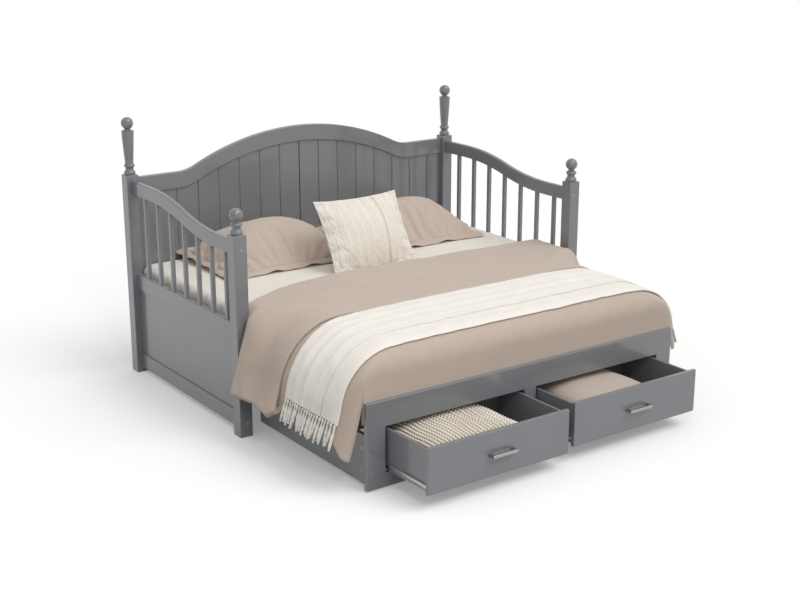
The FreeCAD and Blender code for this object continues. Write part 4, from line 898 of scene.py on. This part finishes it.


# Blankets in the drawers: a chunky cream one knitted in ribs, and a plain taupe cover, each folded in layers
# with the folds to the sides, and settled by its own weight.
# A dark brown painted as shade into the hollows between the blanket's ribs.
RIB_PAINTED_SHADE = (0.27, 0.215, 0.150, 1)
RIB_CREAM = (0.74, 0.68, 0.59, 1)
RIB_PALE = (0.84, 0.785, 0.70, 1)
RIB_PITCH = 0.0200
RIB_HEIGHT = 0.013
STITCH_PITCH = 0.0180
ROW_STEP = 0.0030
END_ROUND = 0.052
GROOVE_WIDTH = 0.13
GROOVE_DEPTH = 0.010
SIDE_ROUND = 0.58
TOP_ROUND = 0.80


def folded_table(low, high, layers, step, rib):
    """Rows along the drawer's depth, columns once round the folded stack, and how far its ribs stand out,
    which also sets the shade painted into the hollows between them.
    """
    span, middle = high - low, (low + high) / 2
    count = int(2 * (span[0] + span[2]) / step)
    angle = np.linspace(0, 2 * math.pi, 20001)
    shape = np.stack([np.sign(np.cos(angle)) * np.abs(np.cos(angle)) ** SIDE_ROUND * span[0] / 2,
                      np.sign(np.sin(angle)) * np.abs(np.sin(angle)) ** TOP_ROUND * span[2] / 2], axis=-1)
    walked = np.concatenate([[0], np.cumsum(np.linalg.norm(np.diff(shape, axis=0), axis=1))])
    places = np.linspace(0, walked[-1], count + 1)
    loop = np.stack([np.interp(places, walked, shape[:, axis]) for axis in (0, 1)], axis=-1)
    tangent = np.gradient(loop, axis=0)
    facing = np.stack([tangent[:, 1], -tangent[:, 0]], axis=-1)
    facing /= np.maximum(np.linalg.norm(facing, axis=1), 1e-9)[:, None]
    height = (loop[:, 1] + span[2] / 2) / span[2]
    off_fold = ((height * layers + 0.5) % 1 - 0.5) / GROOVE_WIDTH
    in_stack = (height > 0.12) & (height < 0.9)
    groove = -GROOVE_DEPTH * ease(0.5, 0.9, np.abs(facing[:, 0])) * np.exp(-off_fold ** 2) * in_stack
    ends = np.radians(np.linspace(0, 90, 9))
    body = int((span[1] - 2 * END_ROUND) / ROW_STEP)
    past_end, tucked = END_ROUND * (1 - np.cos(ends)), END_ROUND * (1 - np.sin(ends))
    between_ends = np.linspace(END_ROUND, span[1] - END_ROUND, body)[1:-1]
    depth = np.concatenate([past_end, between_ends, span[1] - past_end[::-1]])
    tuck = np.concatenate([tucked, np.zeros(body - 2), tucked[::-1]])
    rows = [np.tile((middle[0], low[1] + 0.001, middle[2] - 0.01), (count + 1, 1))]
    relief = [np.ones(count + 1)]
    for back, inset in zip(depth, tuck):
        spots = np.stack([loop[:, 0], np.full(count + 1, back), loop[:, 1]], axis=-1)
        stand = groove - inset + 0.006 * wander(spots, 6.0, middle[0]) - 0.005
        relief.append(np.ones(count + 1))
        if rib:
            ribs = (places + 0.010 * math.sin(back * 9) + 0.010 * wander(spots, 9.0, 1.0)) / RIB_PITCH
            lean = np.where(np.floor(ribs) % 2 == 0, 1, -1)
            twist = 2 * math.pi * back / STITCH_PITCH + lean * 1.2 + ribs % 1 * 3.0 * lean
            stitch = 0.5 + 0.5 * np.sin(twist)
            relief[-1] = np.abs(np.sin(ribs * math.pi)) ** 0.8 * (0.56 + 0.44 * stitch)
            stand = stand + RIB_HEIGHT * (relief[-1] - 0.7)
        ring = loop + facing * stand[:, None]
        line = np.full(count + 1, low[1] + back)
        rows.append(np.stack([middle[0] + ring[:, 0], line, middle[2] + ring[:, 1]], axis=-1))
    rows.append(np.tile((middle[0], high[1] - 0.001, middle[2] - 0.01), (count + 1, 1)))
    relief.append(np.ones(count + 1))
    # How far the ribs stand out, stretched into the share of shade painted between them.
    return np.array(rows), np.array(relief) * 1.5 - 0.15


rib_wool = knitted("cream_rib_wool", RIB_PAINTED_SHADE, RIB_CREAM, RIB_PALE, thread=420)
for hand, layers, step, rib, cloth, slot in (("left", 3, 0.0025, True, rib_wool, "cream_rib_knit"),
                                             ("right", 2, 0.0060, False, taupe_cotton, "taupe_cotton")):
    node = f"{hand}_drawer_blanket"
    low, high = (np.array(corner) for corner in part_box(node))
    blanket = cloth_from(f"{hand}_folded_blanket", *folded_table(low, high, layers, step, rib))
    dress(blanket, cloth, node, f"{hand}_drawer")


# Studio: a pale floor that reads as white to the camera and keeps the bed's soft shadow, a broad key light
# high on the right, a softbox beside the camera and an even sky. The camera has a long lens and stands
# off the left front corner.
FLOOR_WHITE = (0.76, 0.76, 0.76, 1)
FLOOR_BOUNCE = (0.34, 0.34, 0.34, 1)
FLOOR_GLOW = 0.22
FLOOR_SIZE = 120
FLOOR_PLACE = (0, 0, -0.0005)
SKY_TINT = (1.0, 0.995, 0.985, 1)
SKY_LIGHT = 0.68
SKY_SEEN = 1.0
KEY_ENERGY = 1.35
KEY_SPREAD = math.radians(40)
KEY_AIM = Vector((-0.42, 0.58, -1.0))
SOFTBOX_SIZE = 0.48
SOFTBOX_ENERGY = 32
SOFTBOX_PLACE = (-2.2, -4.2, 3.8)
SOFTBOX_TARGET = Vector((0, 0, 0.8))
LENS_LENGTH = 61.8
CAMERA_PLACE = (-3.7877, -5.1537, 2.4076)
CAMERA_DIP = 0.2926
CAMERA_TURN = -0.6177
bpy.ops.object.select_all(action="DESELECT")
bpy.ops.mesh.primitive_plane_add(size=FLOOR_SIZE, location=FLOOR_PLACE)
floor = bpy.context.object
floor.name = "studio_floor"
paper = bpy.data.materials.new("white_paper")
paper.use_nodes = True
paper_nodes = paper.node_tree.nodes
paper_link = paper.node_tree.links.new
matt = paper_nodes["Principled BSDF"]
matt.inputs["Roughness"].default_value = 0.9
matt.inputs["Specular IOR Level"].default_value = 0.0
ray = paper_nodes.new("ShaderNodeLightPath")
seen = paper_nodes.new("ShaderNodeMath")
seen.operation = "MAXIMUM"
glow = paper_nodes.new("ShaderNodeMath")
glow.operation = "MULTIPLY"
glow.inputs[1].default_value = FLOOR_GLOW
tint = paper_nodes.new("ShaderNodeMix")
tint.data_type = "RGBA"
tint.inputs["A"].default_value = FLOOR_BOUNCE
tint.inputs["B"].default_value = FLOOR_WHITE
paper_link(ray.outputs["Is Camera Ray"], seen.inputs[0])
paper_link(ray.outputs["Is Glossy Ray"], seen.inputs[1])
paper_link(seen.outputs["Value"], glow.inputs[0])
paper_link(seen.outputs["Value"], tint.inputs["Factor"])
paper_link(tint.outputs["Result"], matt.inputs["Base Color"])
matt.inputs["Emission Color"].default_value = (1, 1, 1, 1)
paper_link(glow.outputs["Value"], matt.inputs["Emission Strength"])
floor.data.materials.append(paper)

world = bpy.data.worlds.new("studio_sky")
bpy.context.scene.world = world
world.use_nodes = True
sky = world.node_tree.nodes["Background"]
sky.inputs["Color"].default_value = SKY_TINT
sky_ray = world.node_tree.nodes.new("ShaderNodeLightPath")
sky_level = world.node_tree.nodes.new("ShaderNodeMapRange")
sky_level.inputs["To Min"].default_value = SKY_LIGHT
sky_level.inputs["To Max"].default_value = SKY_SEEN
world.node_tree.links.new(sky_ray.outputs["Is Camera Ray"], sky_level.inputs["Value"])
world.node_tree.links.new(sky_level.outputs["Result"], sky.inputs["Strength"])


def set_up(name, data):
    placed = bpy.data.objects.new(name, data)
    bpy.context.scene.collection.objects.link(placed)
    return placed


lamp = bpy.data.lights.new("key_light", "SUN")
lamp.energy = KEY_ENERGY
lamp.angle = KEY_SPREAD
key = set_up("key_light", lamp)
key.rotation_euler = KEY_AIM.to_track_quat("-Z", "Y").to_euler()

box_lamp = bpy.data.lights.new("softbox", "AREA")
box_lamp.size = SOFTBOX_SIZE
box_lamp.energy = SOFTBOX_ENERGY
softbox = set_up("softbox", box_lamp)
softbox.location = SOFTBOX_PLACE
softbox.rotation_euler = (SOFTBOX_TARGET - softbox.location).to_track_quat("-Z", "Y").to_euler()

lens = bpy.data.cameras.new("camera")
lens.sensor_width = 36
lens.lens = LENS_LENGTH
lens.clip_end = 200
camera = set_up("camera", lens)
camera.location = CAMERA_PLACE
camera.rotation_euler = (math.pi / 2 - CAMERA_DIP, 0, CAMERA_TURN)
bpy.context.scene.camera = camera
bpy.context.scene.view_settings.view_transform = "Standard"
